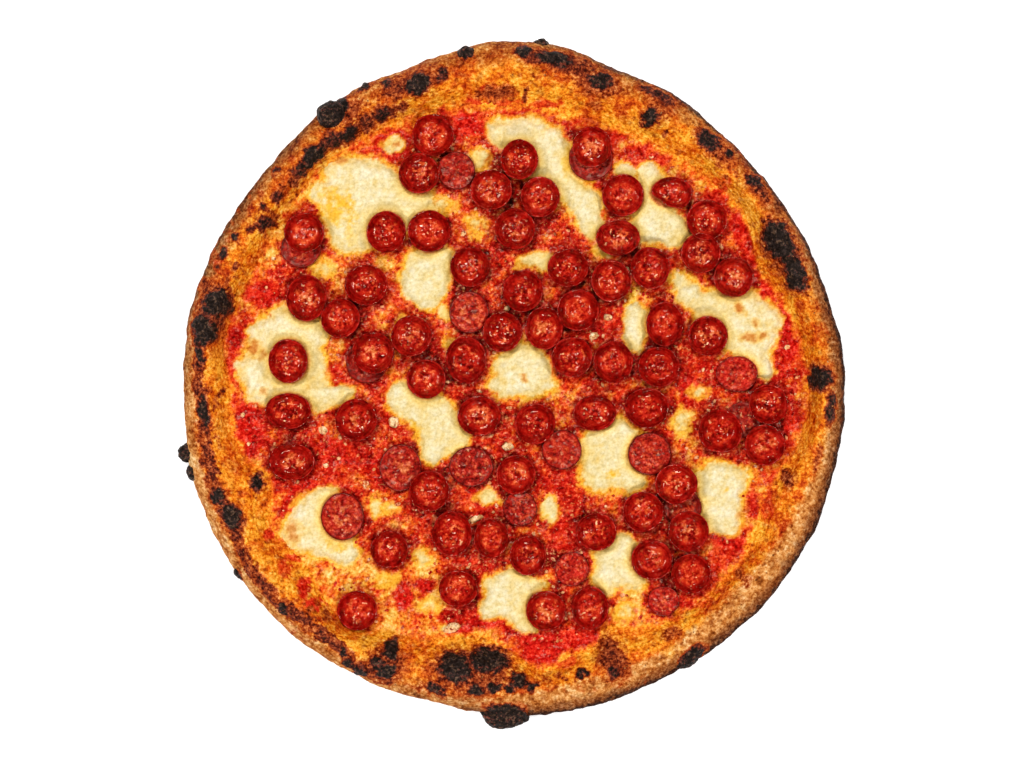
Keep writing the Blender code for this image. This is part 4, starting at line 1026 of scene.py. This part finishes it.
def crust_tint(x, y, height, angle, radius, outer, inner):
    """Colour, gloss, burn, grain and share of underside of the baked dough."""
    inward = (radius - inner) / (outer - inner)
    golden, tone, broad, middle, fine = golden_tint(x, y, height, inward)
    # Golden inner slope, browner towards the crest
    crest = smooth(0.42, 0.92, inward + 0.22 * middle)
    colour = mix(golden, ramp(tone, "crest"), crest)
    gloss = 0.40 + 0.27 * smooth(0.2, 0.8, inward)
    # Flour on the outer band and low on the side
    band = round_the_rim(FLOUR_BAND, angle)
    floury = smooth(-2.0, 2.0, radius - band + 1.7 * middle + 1.1 * fine)
    floury = np.maximum(floury, smooth(11.0, 7.5, height) * (radius > outer - 14.0))
    flour = ramp(0.5 + 0.50 * middle + 0.45 * fine + 0.25 * broad, "flour")
    colour = mix(colour, flour, floury)
    gloss = gloss + (0.86 - gloss) * floury
    # Toasting, and a darker outer edge that is partly painted shade
    colour = toasted(colour, angle, radius - outer, height, tone, middle, fine)
    # Oil and sauce that ran up the slope, and small brown speckles
    warp_x = x + 2.0 * fine
    warp_y = y + 2.0 * middle
    colour = stained(colour, "oil_smear", OIL_SMEARS, warp_x, warp_y, (1.7, 0.2), 0.5 * fine, 0.85)
    colour = stained(colour, "sauce_smear", RED_SMEARS, warp_x, warp_y, (1.4, 0.5), 0.5 * fine)
    speckle, own = cells(x, y, 3.0, 1)
    dots = smooth(0.50, 0.22, speckle + 0.16 * fine) * (own < 0.20)
    colour = mix(colour, shade("speckle"), 0.38 * dots)
    # Char on the upper side, and the pale underside
    burnt = burn(x, y) * (height > 4.0)
    gloss = gloss + (0.50 - gloss) * smooth(0.4, 0.9, burnt)
    under = smooth(3.0, 1.0, height)
    colour = mix(colour, shade("underside"), under)
    grain = 0.88 - 0.40 * smooth(0.40, 0.80, burnt) - 0.1 * floury
    return colour, gloss, burnt, grain, under


def crust_relief(points, upper, burnt):
    """Points of the crust moved out along their normals by blisters, fine crags and char."""
    x, y, height = points[..., 0], points[..., 1], points[..., 2]
    along = np.roll(points, -1, axis=1) - np.roll(points, 1, axis=1)
    normal = np.cross(along, np.gradient(points, axis=0))
    normal /= np.linalg.norm(normal, axis=-1)[..., None] + 1e-9
    fine = 0.34 * pattern("dough", x, y, height) + 0.18 * pattern("fine_dough", x, y, height)
    blister, own = cells(x, y, 7.5, 3)
    bumps = 0.8 * np.sqrt(np.clip(0.16 - blister ** 2, 0.0, 1.0)) / 0.4 * (own > 0.55)
    charred = smooth(0.55, 0.95, burnt)
    fine = fine + charred * (0.5 + 0.75 * np.abs(pattern("char", x, y, height)))
    fine = (fine + 0.5 * upper * bumps) * np.clip((height - 0.5) / 2.0, 0.0, 1.0)
    points = points + normal * fine[..., None]
    points[..., 2] = np.maximum(points[..., 2], 0.0)
    return points


def make_crust(material, places):
    """Dough of the rim, its slope, the underside and the edge of the bed."""
    angle = 360.0 * np.arange(CRUST_TURNS) / CRUST_TURNS
    rings = crust_rings(angle)
    shares = np.linspace(0.03, 0.97, UNDERSIDE_RINGS)[:, None]
    radius = np.concatenate([shares * rings[0, 0], rings[:, 0, :]])
    height = np.concatenate([np.zeros((UNDERSIDE_RINGS, CRUST_TURNS)), rings[:, 1, :]])
    x, y = from_polar(angle, radius)
    # Crags move the top of the rim up and down, and its side in and out
    crag = CRAG_DEPTH * pattern("crag", x, y, 1.5 * height)
    crag = crag + FINE_CRAG_DEPTH * pattern("fine_crag", x, y, 1.5 * height)
    upper = np.clip((height - TOP_START) / TOP_BLEND, 0.0, 1.0)
    foot = np.clip(height / 1.5, 0.0, 1.0)
    height = height + upper * puff_height(angle, radius)
    height = height + foot * (0.4 + 0.6 * upper) * crag
    radius = radius + foot * (1.0 - 0.6 * upper) * crag
    x, y = from_polar(angle, radius)
    angle = np.broadcast_to(angle, x.shape)
    outer = rim_radius(angle)
    inner = recess_radius(angle)
    tint, gloss, burnt, grain, under = crust_tint(x, y, height, angle, radius, outer, inner)
    # Where the slope meets the toppings it takes on the colours of the sauce
    near = (radius < inner + 9.0) & (radius > inner - 4.0) & (height > 5.0)
    at = topping_fields(x[near], y[near], places)
    sauce, sauce_gloss, _, _ = topping_tint(x[near], y[near], at)
    bare = rim_share(x[near], y[near], radius[near], inner[near])
    tint[near] = mix(sauce, tint[near], bare)
    gloss[near] = sauce_gloss + (gloss[near] - sauce_gloss) * bare
    burnt[near] = burnt[near] * bare
    points = crust_relief(np.stack([x, y, height], axis=-1), upper, burnt)
    ends = [(*CENTRE, 0.0), (*CENTRE, BED_HEIGHT)]
    flat = np.concatenate([points.reshape(-1, 3), ends])
    tint = np.concatenate([tint.reshape(-1, 3), tint[0, :1], tint[-1, :1]])
    crust = make_mesh("crust_dough", flat, ring_faces(len(points), CRUST_TURNS), material, tint, {
        "gloss": with_ends(gloss, 0.8, 0.6), "burnt": with_ends(burnt, 0.0, 0.0),
        "grain": with_ends(grain, 0.8, 0.8), "under": with_ends(under, 1.0, 0.0)})
    finish_piece(crust, ("crust",))


def unit_ball(splits):
    """Points and triangles of a round ball of radius 1."""
    ball = bmesh.new()
    bmesh.ops.create_icosphere(ball, subdivisions=splits, radius=1.0)
    points = np.array([vert.co[:] for vert in ball.verts])
    faces = np.array([[vert.index for vert in face.verts] for face in ball.faces])
    ball.free()
    return points, faces


def lumps(items, splits, dents):
    """Points and faces of dented balls: (x, y, z, half sizes, turn in degrees) each."""
    ball, triangles = unit_ball(splits)
    points = []
    faces = []
    for number, (x, y, z, half_x, half_y, half_z, turn) in enumerate(items):
        dent = 1.0
        for amount, waves, step in dents:
            dent = dent + amount * lattice_noise(ball[:, 0] * waves, ball[:, 1] * waves,
                                                 ball[:, 2] * waves + step * number)
        local = ball * dent[:, None] * np.array([half_x, half_y, half_z])
        cos, sin = math.cos(math.radians(turn)), math.sin(math.radians(turn))
        faces.append(triangles + number * len(ball))
        points.append(np.stack([x + local[:, 0] * cos - local[:, 1] * sin,
                                y + local[:, 0] * sin + local[:, 1] * cos,
                                z + local[:, 2]], axis=-1))
    return np.concatenate(points), [np.concatenate(faces)]


def make_bubbles(material):
    """Burst, blackened bubbles that stand out of the rim."""
    items = []
    for angle, radius, height, half_length, half_width, half_height in BUBBLES:
        items.append((*from_polar(angle, radius), height, half_width, half_length, half_height,
                      angle))
    points, faces = lumps(items, 5, BUBBLE_DENTS)
    points[:, 2] = np.maximum(points[:, 2], 0.2)
    tone = 0.45 + 0.6 * pattern("bubble", points[:, 0], points[:, 1], points[:, 2])
    bubbles = make_mesh("char_bubbles", points, faces, material, ramp(tone, "bubble"),
                        {"gloss": 0.42, "burnt": 0.9, "grain": 0.5})
    finish_piece(bubbles, ("crust",))


# Sauce and cheese

def melt(x, y, pools):
    """Strength of the melted pools at a place: 1 at an edge, more inside."""
    total = 0.0 * x
    for pool in pools:
        strength = 0.0 * x
        for blob_x, blob_y, blob in pool:
            strength = strength + np.exp(1.0 - ((x - blob_x) ** 2 + (y - blob_y) ** 2) / blob ** 2)
        total = np.maximum(total, strength)
    return total


def thin_melt(x, y):
    """Strength of the thin melts at a place."""
    total = 0.0 * x
    for place in THIN_MELTS:
        total = np.maximum(total, place[4] * np.exp(0.7 - 0.9 * oval(x, y, place)))
    return total


def slice_halo(x, y, places):
    """1 at the edge of a slice, falling to 0 away from it. It places painted shade round the
    slices, and the fat beside them.
    """
    nearest = np.full(x.shape, 9.0)
    for key, (place_x, place_y) in places.items():
        half_x, half_y = SLICES[key][2:]
        away = np.hypot((x - place_x) / half_x, (y - place_y) / half_y)
        nearest = np.minimum(nearest, (away - 1.0) * half_x)
    return np.exp(-np.clip(nearest, 0.0, 99.0) / 1.6)


def topping_fields(x, y, places):
    """Everything that colours and shapes the toppings at a place."""
    flow_x, flow_y = warped(x, y, *FLOW_WARP)
    angle, radius = polar(x, y)
    pools = melt(flow_x, flow_y, CHEESE_POOLS)
    thin = thin_melt(flow_x, flow_y)
    fields = {name: pattern(name, x, y) for name in ("broad", "middle", "fine")}
    fields.update(x=flow_x, y=flow_y, radius=radius, inner=recess_radius(angle), pools=pools,
                  thin=thin, melt=np.maximum(pools, thin), halo=slice_halo(x, y, places))
    return fields


def warmth(at, edge, near_rim):
    """How far the sauce has gone from deep red, 0, through orange to pale gold, 1."""
    patches = 0.0 * edge
    for place in WARM_PATCHES:
        patches = patches + place[4] * np.exp(-1.1 * oval(at["x"], at["y"], place))
    warm = 0.30 + 0.32 * at["broad"] + 0.34 * at["middle"] + 0.22 * at["fine"]
    warm = warm + np.minimum(patches + 0.20 * near_rim, 0.42)
    # Painted shadow: the sauce is deeper red round the slices
    return warm + 0.45 * smooth(0.30, 0.95, edge) - 0.34 * at["halo"]


def crushed_tomato(at):
    """Share of bright crushed tomato at a place."""
    red = 0.0 * at["x"]
    for place in TOMATOES:
        spread = np.exp(-0.75 * oval(at["x"], at["y"], place))
        red = np.maximum(red, place[4] * smooth(0.28, 0.62, spread + 0.20 * at["fine"]))
    return red


def cheese_over(colour, at, cream):
    """Colour with the cheese, painted shade round the slices, the fat beside them, oil stains and
    browned spots on it.
    """
    tone = 0.34 + 0.42 * smooth(1.0, 2.4, at["melt"])
    tone = tone + 0.30 * at["middle"] + 0.26 * at["fine"] + 0.18 * at["broad"]
    colour = mix(colour, ramp(tone, "cheese"), cream)
    # Painted shade: the cream turns a warmer, deeper gold where the slices shade it
    shaded = smooth(0.20, 0.75, at["halo"] ** 0.35 + 0.10 * at["fine"])
    colour = mix(colour, shade("painted_shade_near_slice"), 0.62 * cream * shaded)
    beside = smooth(0.30, 0.80, at["halo"] + 0.12 * at["fine"])
    colour = mix(colour, shade("beside_slice"), 0.65 * cream * beside)
    # Painted contact shadow: a thin dark line on the cheese at the edge of each slice
    colour = mix(colour, shade("painted_contact_shadow"), 0.75 * cream * smooth(0.72, 0.98, at["halo"]))
    place = (at["x"], at["y"])
    colour = stained(colour, "oil_stain", OIL_STAINS, *place, (1.7, 0.1), 0.8 * at["fine"],
                     smooth(-0.9, 0.2, at["middle"]))
    for spot in BROWNED:
        colour = stained(colour, "browned_round", [spot], *place, (3.6, 1.0), 0.6 * at["fine"], 0.7)
        colour = stained(colour, "browned", [spot], *place, (1.3, 0.2), 0.6 * at["fine"], 0.8)
    return colour


def topping_tint(x, y, at):
    """Colour, gloss, grain and curdiness of the sauce, the thin melt and the cheese."""
    near_rim = smooth(-9.0, 1.0, at["radius"] - at["inner"] + 2.0 * at["middle"])
    edge = at["melt"] + 0.12 * at["fine"] + 0.08 * at["middle"]
    warm = warmth(at, edge, near_rim)
    # Sauce with lighter curds, darker strands and bright crushed tomato
    colour = ramp(warm, "sauce")
    curd = smooth(0.30, 0.66, pattern("curd", x, y) + 0.30 * at["broad"])
    colour = mix(colour, shade("curd"), 0.46 * curd * (1.0 - near_rim))
    strand = smooth(0.25, 0.55, pattern("strand", x, y))
    colour = mix(colour, shade("strand"), 0.60 * strand * smooth(0.95, 0.55, warm))
    red = crushed_tomato(at)
    tomato = ramp(0.5 + 0.5 * at["middle"] + 0.5 * at["fine"], "tomato")
    colour = mix(colour, tomato, red * smooth(1.15, 0.85, edge))
    # Golden fringe of the melt, then the cheese itself
    fringe = smooth(0.40, 0.74, edge) * smooth(1.36, 1.00, edge)
    golden = smooth(-0.50, 0.20, pattern("fringe", x, y) + 0.20)
    colour = mix(colour, shade("melt_edge"), 0.85 * fringe * golden)
    cream = smooth(0.90, 1.22, edge)
    colour = cheese_over(colour, at, cream)
    gloss = 0.20 + 0.20 * cream + 0.06 * at["fine"]
    grain = 0.78 - 0.48 * np.maximum(cream, 0.6 * fringe)
    curdy = (1.0 - cream) * (1.0 - 0.75 * red) * smooth(1.0, 0.5, warm) * (1.0 - 0.6 * near_rim)
    return colour, gloss, grain, 0.50 * curdy


def bed_base(x, y, at):
    """Surface that the sauce and the cheese share, which rises towards the rim."""
    rise = 1.6 * smooth(-7.0, 2.5, at["radius"] - at["inner"])
    return SAUCE_LEVEL + SAUCE_RIPPLE * pattern("ripple", x, y) + rise


def bed_height(x, y, at):
    """Surface of the sauce, which sinks away under the cheese."""
    lift = 0.50 * at["middle"] + 0.38 * at["fine"] + 0.20 * pattern("bits", x, y)
    lift = lift + 0.7 * smooth(0.5, 1.3, at["thin"])
    for place in TOMATO_LUMPS:
        lift = lift + place[4] * np.exp(-1.5 * oval(x, y, place))
    return bed_base(x, y, at) + (1.0 - smooth(0.6, 1.2, at["pools"])) * lift


def cheese_height(x, y, at):
    """Surface of the melted pools, below the sauce outside them."""
    dome = 1.9 * smooth(0.78, 2.5, at["pools"] + 0.06 * at["fine"]) - 0.22
    dome = dome - 1.2 * smooth(0.80, 0.55, at["pools"])
    folds = (0.24 * at["middle"] + 0.12 * at["fine"]) * smooth(0.8, 1.4, at["pools"])
    return bed_base(x, y, at) + dome + folds


def ground_at(x, y):
    """Height of the toppings at some places, and what lies there."""
    x = np.atleast_1d(np.asarray(x, float))
    y = np.atleast_1d(np.asarray(y, float))
    at = topping_fields(x, y, {})
    return np.maximum(bed_height(x, y, at), cheese_height(x, y, at)), at


def sheet_faces(inside):
    """Points kept and quads of a grid, for the cells whose four corners are inside."""
    full = inside[:-1, :-1] & inside[1:, :-1] & inside[:-1, 1:] & inside[1:, 1:]
    rows, columns = inside.shape
    number = np.arange(rows * columns).reshape(rows, columns)
    quads = np.stack([number[:-1, :-1][full], number[:-1, 1:][full],
                      number[1:, 1:][full], number[1:, :-1][full]], axis=-1)
    used = np.unique(quads)
    again = np.zeros(rows * columns, int)
    again[used] = np.arange(len(used))
    return used, again[quads]


def plan_grid(low, high, step):
    """Grid of places from one corner to the other."""
    return np.meshgrid(*[np.arange(start, end + step, step) for start, end in zip(low, high)])


def make_bed(material, places):
    """Sauce, out to just under the lip of the rim."""
    reach = RECESS_RADIUS + 18.0
    x, y = plan_grid([c - reach for c in CENTRE], [c + reach for c in CENTRE], BED_STEP)
    angle, radius = polar(x, y)
    used, quads = sheet_faces(radius < recess_radius(angle) + BED_UNDER_RIM)
    x = x.ravel()[used]
    y = y.ravel()[used]
    at = topping_fields(x, y, places)
    tint, gloss, grain, curdy = topping_tint(x, y, at)
    bare = rim_share(x, y, at["radius"], at["inner"])
    golden = golden_tint(x, y, LIP_HEIGHT + 1.0, 0.0 * x)[0]
    points = np.stack([x, y, bed_height(x, y, at)], axis=-1)
    bed = make_mesh("sauce_layer", points, [quads], material, mix(tint, golden, bare), {
        "gloss": gloss + (0.40 - gloss) * bare, "grain": grain + (0.85 - grain) * bare,
        "curdy": curdy * (1.0 - bare)})
    finish_piece(bed, ("sauce",))


def make_pools(material, places):
    """Melted cheese, one piece for each pool."""
    for number, pool in enumerate(CHEESE_POOLS, start=1):
        blobs = np.array(pool)
        margin = blobs[:, 2:3] * 1.35 + 3.0
        low = (blobs[:, :2] - margin).min(axis=0)
        high = (blobs[:, :2] + margin).max(axis=0)
        x, y = plan_grid(low, high, CHEESE_STEP)
        own = melt(*warped(x, y, *FLOW_WARP), [pool])
        angle, radius = polar(x, y)
        used, quads = sheet_faces((own > 0.55) & (radius < recess_radius(angle) + 1.0))
        x = x.ravel()[used]
        y = y.ravel()[used]
        at = topping_fields(x, y, places)
        tint, gloss, grain, curdy = topping_tint(x, y, at)
        points = np.stack([x, y, cheese_height(x, y, at)], axis=-1)
        piece = make_mesh("melted_pool_%02d" % number, points, [quads], material, tint,
                          {"gloss": gloss, "grain": grain, "curdy": curdy})
        finish_piece(piece, ("cheese_%02d" % number,))


# Pepperoni

def node_names():
    """CAD node of every slice, numbered as the solids are, and how far the slice is lifted."""
    joined = {key for cluster in CLUSTERS for key in cluster}
    groups = list(CLUSTERS) + [(key,) for key in sorted(SLICES) if key not in joined]
    groups.sort(key=min)
    names = {}
    lifts = {}
    for number, group in enumerate(groups, start=1):
        flats = [key for key in group if key in FLAT]
        for order, key in enumerate(group):
            names[key] = "pepperoni_%02d" % number
            lifts[key] = 0.0
            if key in flats:
                continue
            over_flat = any(math.dist(SLICES[key][:2], SLICES[other][:2]) < FLAT_REACH
                            for other in flats)
            lifts[key] = (FLAT_LIFT if over_flat else 0.0) + PILE_LIFT * order
    return names, lifts


def slice_tint(key, share, turn, x, y, top):
    """Colour, gloss, fattiness and wall share over one slice."""
    dull = key in DULL
    under = key in COVERED
    middle = pattern("meat", x, y)
    fine = pattern("fine_meat", x, y)
    own = SCATTER[(key * 37) % TABLE_SIZE]
    tone = 0.40 + 0.50 * middle + 0.36 * fine + 0.35 * (own[0] - 0.5)
    wall = ramp(0.45 + 0.5 * middle + 0.4 * fine, "meat_wall")
    if dull:
        face = ramp(tone + 0.10, "dull_face")
        floor = smooth(0.97, 0.80, share + 0.04 * fine) * top
    else:
        face = ramp(tone, "meat_face")
        floor = smooth(0.78, 0.52, share + 0.07 * fine) * top
    # Some faces are pale with fat in the middle, and flat ones are flushed
    pale_fat = smooth(0.66, 0.30, share + 0.16 * fine) * smooth(-0.1, 0.4, middle + 0.5 * fine)
    face = mix(face, shade("pale_fat"), 0.70 * pale_fat * (own[2] > 0.60))
    if key in FLAT:
        face = mix(1.05 * face, shade("flat_face"), smooth(-0.1, 0.4, pattern("blotch", x, y)))
    # Painted shade: a slice that lies under another one is darker
    if under:
        face = 0.96 * face
        wall = 0.92 * wall
    colour = mix(wall, face, floor)
    # A painted highlight lightens the thin rim in places, and the outer edge and the side are dark
    lit = lattice_noise(1.6 * np.cos(turn), 1.6 * np.sin(turn), key * 3.1)
    if not dull:
        rim = np.exp(-((share - 0.965) / 0.022) ** 2) * top
        colour = mix(colour, shade("painted_rim_highlight"), 0.30 * rim * smooth(0.05, 0.6, lit))
    dark_edge = smooth(0.97, 1.0, share) * top
    colour = mix(colour, shade("meat_edge"), 0.4 * dark_edge)
    colour = mix(colour, shade("meat_below"), 0.65 * (1.0 - top))
    gloss = 0.10 + 0.02 * floor + 0.18 * dull + 0.25 * under + 0.20 * dark_edge
    fatty = (0.04 + 0.96 * floor) * (0.40 + 0.75 * own[1]) * top * (0.55 if dull else 1.0)
    wall_share = smooth(0.55, 0.72, share) * top * (0.4 if dull else 1.0)
    return colour, gloss, np.clip(fatty, 0.0, 1.0), wall_share


def slice_profile(key, own):
    """Profile of a slice's kind and its depth."""
    if key in FLAT:
        return np.array(FLAT_PROFILE), FLAT_THICKNESS
    if key in DULL:
        return np.array(DULL_PROFILE), DULL_DEPTH
    return np.array(CUP_PROFILE), CUP_DEPTH + CUP_DEPTH_SPREAD * (2.0 * own[0] - 1.0)


def slice_edge(key, turn, cos, sin, own):
    """How far the edge of a slice wobbles out, and how high its wall curls, all round."""
    wobble = 1.0
    for amount, waves in EDGE_WOBBLE:
        wobble = wobble + amount * lattice_noise(waves * cos, waves * sin, 3.7 * key)
    if key == FOLDED:
        for angle, half_width, amount in FOLD_BENDS:
            wobble = wobble + amount * np.exp(-((turn - math.radians(angle)) / half_width) ** 2)
    curl = 1.0 + 0.16 * np.cos(2.0 * (turn - 6.28 * own[1]))
    return wobble, curl + 0.08 * lattice_noise(1.8 * cos, 1.8 * sin, 9.1 * key)


def slice_base(place, half_x, half_y):
    """Mean height of the toppings under a slice."""
    spots = [(place[0] + 0.7 * half_x * math.cos(way), place[1] + 0.7 * half_y * math.sin(way))
             for way in np.arange(0.0, 6.28, 0.785)]
    spots = np.array([place] + spots)
    return float(np.mean(ground_at(spots[:, 0], spots[:, 1])[0]))


def make_slice(key, place, node, lift, material):
    """One slice with its relief, leaning a little."""
    half_x, half_y = SLICES[key][2:]
    own = SCATTER[(key * 53) % TABLE_SIZE]
    profile, depth = slice_profile(key, own)
    turn = 2.0 * math.pi * np.arange(SLICE_TURNS) / SLICE_TURNS
    cos, sin = np.cos(turn), np.sin(turn)
    wobble, curl = slice_edge(key, turn, cos, sin, own)
    share = np.repeat(profile[:, 0:1], SLICE_TURNS, axis=1)
    x = place[0] + half_x * share * wobble * cos
    y = place[1] + half_y * share * wobble * sin
    rim_part = np.clip((share - 0.6) / 0.4, 0.0, 1.0)
    height = depth * profile[:, 1:2] * (1.0 + (curl - 1.0) * rim_part)
    # The face starts at the top of the wall. An oily cup is smooth inside its wall
    top_from = int(np.argmax(profile[:, 1]))
    top = (np.arange(len(profile)) >= top_from).astype(float)[:, None] + 0.0 * x
    oily = len(profile) == len(CUP_PROFILE)
    amount, middle, half_width = SMOOTH_WALL
    calm = 1.0 - amount * np.exp(-((share - middle) / half_width) ** 2) * oily
    inward = smooth(0.98, 0.70, share) * top
    height = height + FACE_RELIEF[0] * inward * calm * pattern("face", x, y)
    height = height + FACE_RELIEF[1] * top * calm * pattern("fine_face", x, y)
    # It rests on the toppings, a little askew
    base = slice_base(place, half_x, half_y) + lift - SLICE_SINK
    lean_x, lean_y = SLICE_LEAN * (own[1] - 0.5), SLICE_LEAN * (own[2] - 0.5)
    height = height + base + lean_x * (x - place[0]) + lean_y * (y - place[1])
    tint, gloss, fatty, wall = slice_tint(key, share, turn + 0.0 * x, x, y, top)
    grain = (0.42 + 0.43 * smooth(0.0, 0.5, fatty)) * (0.30 + 0.70 * calm)
    around = np.stack([share * half_x / WRINKLE_SIZE, 1.3 * cos + 0.0 * x,
                       1.3 * sin + 7.0 * key + 0.0 * x], axis=-1).reshape(-1, 3)
    ends = [(*place, float(height[0].mean())), (*place, float(height[-1].mean()))]
    points = np.concatenate([np.stack([x, y, height], axis=-1).reshape(-1, 3), ends])
    tint = np.concatenate([tint.reshape(-1, 3), tint[0, :1], tint[-1, :1]])
    piece = make_mesh("pepperoni_slice_%02d" % key, points,
                      ring_faces(len(profile), SLICE_TURNS), material, tint, {
                          "gloss": with_ends(gloss, *gloss[-1, :2]),
                          "grain": with_ends(grain, 0.8, 0.8),
                          "fatty": with_ends(fatty, 0.0, fatty[-1, 0]),
                          "wall": with_ends(wall, 0.0, 0.0),
                          "around": np.concatenate([around, around[:1], around[-1:]])})
    finish_piece(piece, (node,))


# Small scattered bits

def add_lumps(name, items, material, gloss, splits, colours=None):
    """One piece made of many small lumps."""
    points, faces = lumps(items, splits, CRUMB_DENTS)
    tone = 0.5 + 0.5 * pattern("crumb", points[:, 0], points[:, 1])
    piece = make_mesh(name, points, faces, material, ramp(tone, colours or name),
                      {"gloss": gloss, "grain": 0.8, "curdy": 0.9, "burnt": 0.0})
    finish_piece(piece)


def open_places(draw, count, places, margin, clear):
    """Random places on the toppings that are clear of the slices."""
    found = []
    while len(found) < count:
        angle = draw.uniform(0.0, 360.0)
        radius = 150.0 * math.sqrt(draw.random())
        if radius > float(recess_radius(np.array([angle]))[0]) - margin:
            continue
        x, y = from_polar(angle, radius)
        blocked = any(math.hypot((x - px) / (SLICES[key][2] + clear),
                                 (y - py) / (SLICES[key][3] + clear)) < 1.0
                      for key, (px, py) in places.items())
        if not blocked:
            found.append((x, y))
    return np.array(found)


def make_bits(material, places):
    """Curds at listed places, and crumbs and crushed bits strewn between the slices."""
    draw = np.random.default_rng(SEED + 1)
    pale = []
    for x, y, half_x, half_y, turn in PALE_BITS:
        z = float(ground_at(x, y)[0][0])
        pale.append((x, y, z - 0.1, half_x, half_y, min(half_x, half_y) * 0.6, turn))
    add_lumps("curd_bits", pale, material, 0.35, 3)
    spots = open_places(draw, CRUMB_COUNT, places, 4.0, 0.3)
    heights, at = ground_at(spots[:, 0], spots[:, 1])
    curds = []
    reds = []
    for (x, y), z, strength in zip(spots, heights, at["melt"]):
        size = draw.uniform(0.4, 0.95)
        turn = draw.uniform(0.0, 360.0)
        lump = (x, y, z, size * draw.uniform(0.8, 1.8), size, size * 0.5, turn)
        if strength < 0.6:
            (curds if draw.random() < CURD_SHARE else reds).append(lump)
    add_lumps("curd_crumbs", curds, material, 0.30, 2)
    add_lumps("tomato_bits", reds, material, 0.22, 2)


def make_flakes(material):
    """Small brown flakes and bran on the rim."""
    draw = np.random.default_rng(SEED + 2)
    flakes = []
    while len(flakes) < FLAKE_COUNT:
        angle = draw.uniform(0.0, 360.0)
        outer = float(rim_radius(np.array([angle]))[0])
        inner = float(recess_radius(np.array([angle]))[0])
        radius = inner + draw.uniform(0.45, 0.93) * (outer - inner)
        size = draw.uniform(0.2, 0.45)
        flakes.append((*from_polar(angle, radius), rim_height(angle, radius) + 0.15,
                       size * draw.uniform(1.0, 2.0), size, size * 0.6,
                       draw.uniform(0.0, 360.0)))
    add_lumps("bran_flakes", flakes, material, 0.7, 1, "bran")


# Stage

def make_floor():
    """Plain pale floor with a faint mottle."""
    material = bpy.data.materials.new("pale_floor")
    material.use_nodes = True
    tree = material.node_tree
    shader = tree.nodes["Principled BSDF"]
    mottle = new_node(tree, "TexNoise", {"Scale": 3.0})
    tone = between(tree, mottle.outputs["Fac"], 0.0, 1.0, FLOOR_ALBEDO - 0.01, FLOOR_ALBEDO + 0.01)
    tree.links.new(tone, shader.inputs["Base Color"])
    shader.inputs["Roughness"].default_value = 0.9
    shader.inputs["Emission Color"].default_value = (1.0, 1.0, 1.0, 1.0)
    shader.inputs["Emission Strength"].default_value = FLOOR_GLOW
    mesh = bpy.data.meshes.new("floor")
    corners = [(-FLOOR_HALF, -FLOOR_HALF, 0.0), (FLOOR_HALF, -FLOOR_HALF, 0.0),
               (FLOOR_HALF, FLOOR_HALF, 0.0), (-FLOOR_HALF, FLOOR_HALF, 0.0)]
    mesh.from_pydata(corners, [], [(0, 1, 2, 3)])
    mesh.materials.append(material)
    floor = bpy.data.objects.new("floor", mesh)
    bpy.context.scene.collection.objects.link(floor)


def make_lights():
    """Four small soft lamps, all aimed at the pizza, and an even pale sky."""
    world = bpy.data.worlds.new("studio")
    bpy.context.scene.world = world
    world.use_nodes = True
    sky = world.node_tree.nodes["Background"]
    sky.inputs["Color"].default_value = (1.0, 1.0, 1.0, 1.0)
    sky.inputs["Strength"].default_value = WORLD_STRENGTH
    for name, (place, width, depth, power) in LAMPS.items():
        lamp = bpy.data.lights.new(name, "AREA")
        lamp.shape = "RECTANGLE"
        lamp.size = width
        lamp.size_y = depth
        lamp.energy = power
        holder = bpy.data.objects.new(name, lamp)
        bpy.context.scene.collection.objects.link(holder)
        holder.location = place
        aim = Matrix.Translation(place).inverted().translation
        holder.rotation_euler = aim.to_track_quat("-Z", "Y").to_euler()


def make_camera():
    """Camera straight above, as far off as shows the photographed width."""
    camera = bpy.data.cameras.new("camera")
    camera.lens = LENS
    camera.sensor_width = SENSOR
    camera.clip_start = 0.05
    camera.clip_end = 20.0
    holder = bpy.data.objects.new("camera", camera)
    bpy.context.scene.collection.objects.link(holder)
    away = VIEW_WIDTH * LENS / SENSOR + REFERENCE_HEIGHT
    holder.location = (0.0, 0.0, away * MM)
    bpy.context.scene.camera = holder


def main():
    scene = bpy.context.scene
    for thing in list(scene.objects):
        if thing.type in ("CAMERA", "LIGHT") or thing.name == "Cube":
            bpy.data.objects.remove(thing, do_unlink=True)
    scene.view_settings.view_transform = "Standard"
    scene.view_settings.look = "None"
    dough = crust_material()
    topping = topping_material()
    meat = pepperoni_material()
    places = {key: row[:2] for key, row in SLICES.items()}
    make_crust(dough, places)
    make_bubbles(dough)
    make_bed(topping, places)
    make_pools(topping, places)
    names, lifts = node_names()
    for key in sorted(SLICES):
        make_slice(key, places[key], names[key], lifts[key], meat)
    make_bits(topping, places)
    make_flakes(dough)
    make_floor()
    make_lights()
    make_camera()


main()
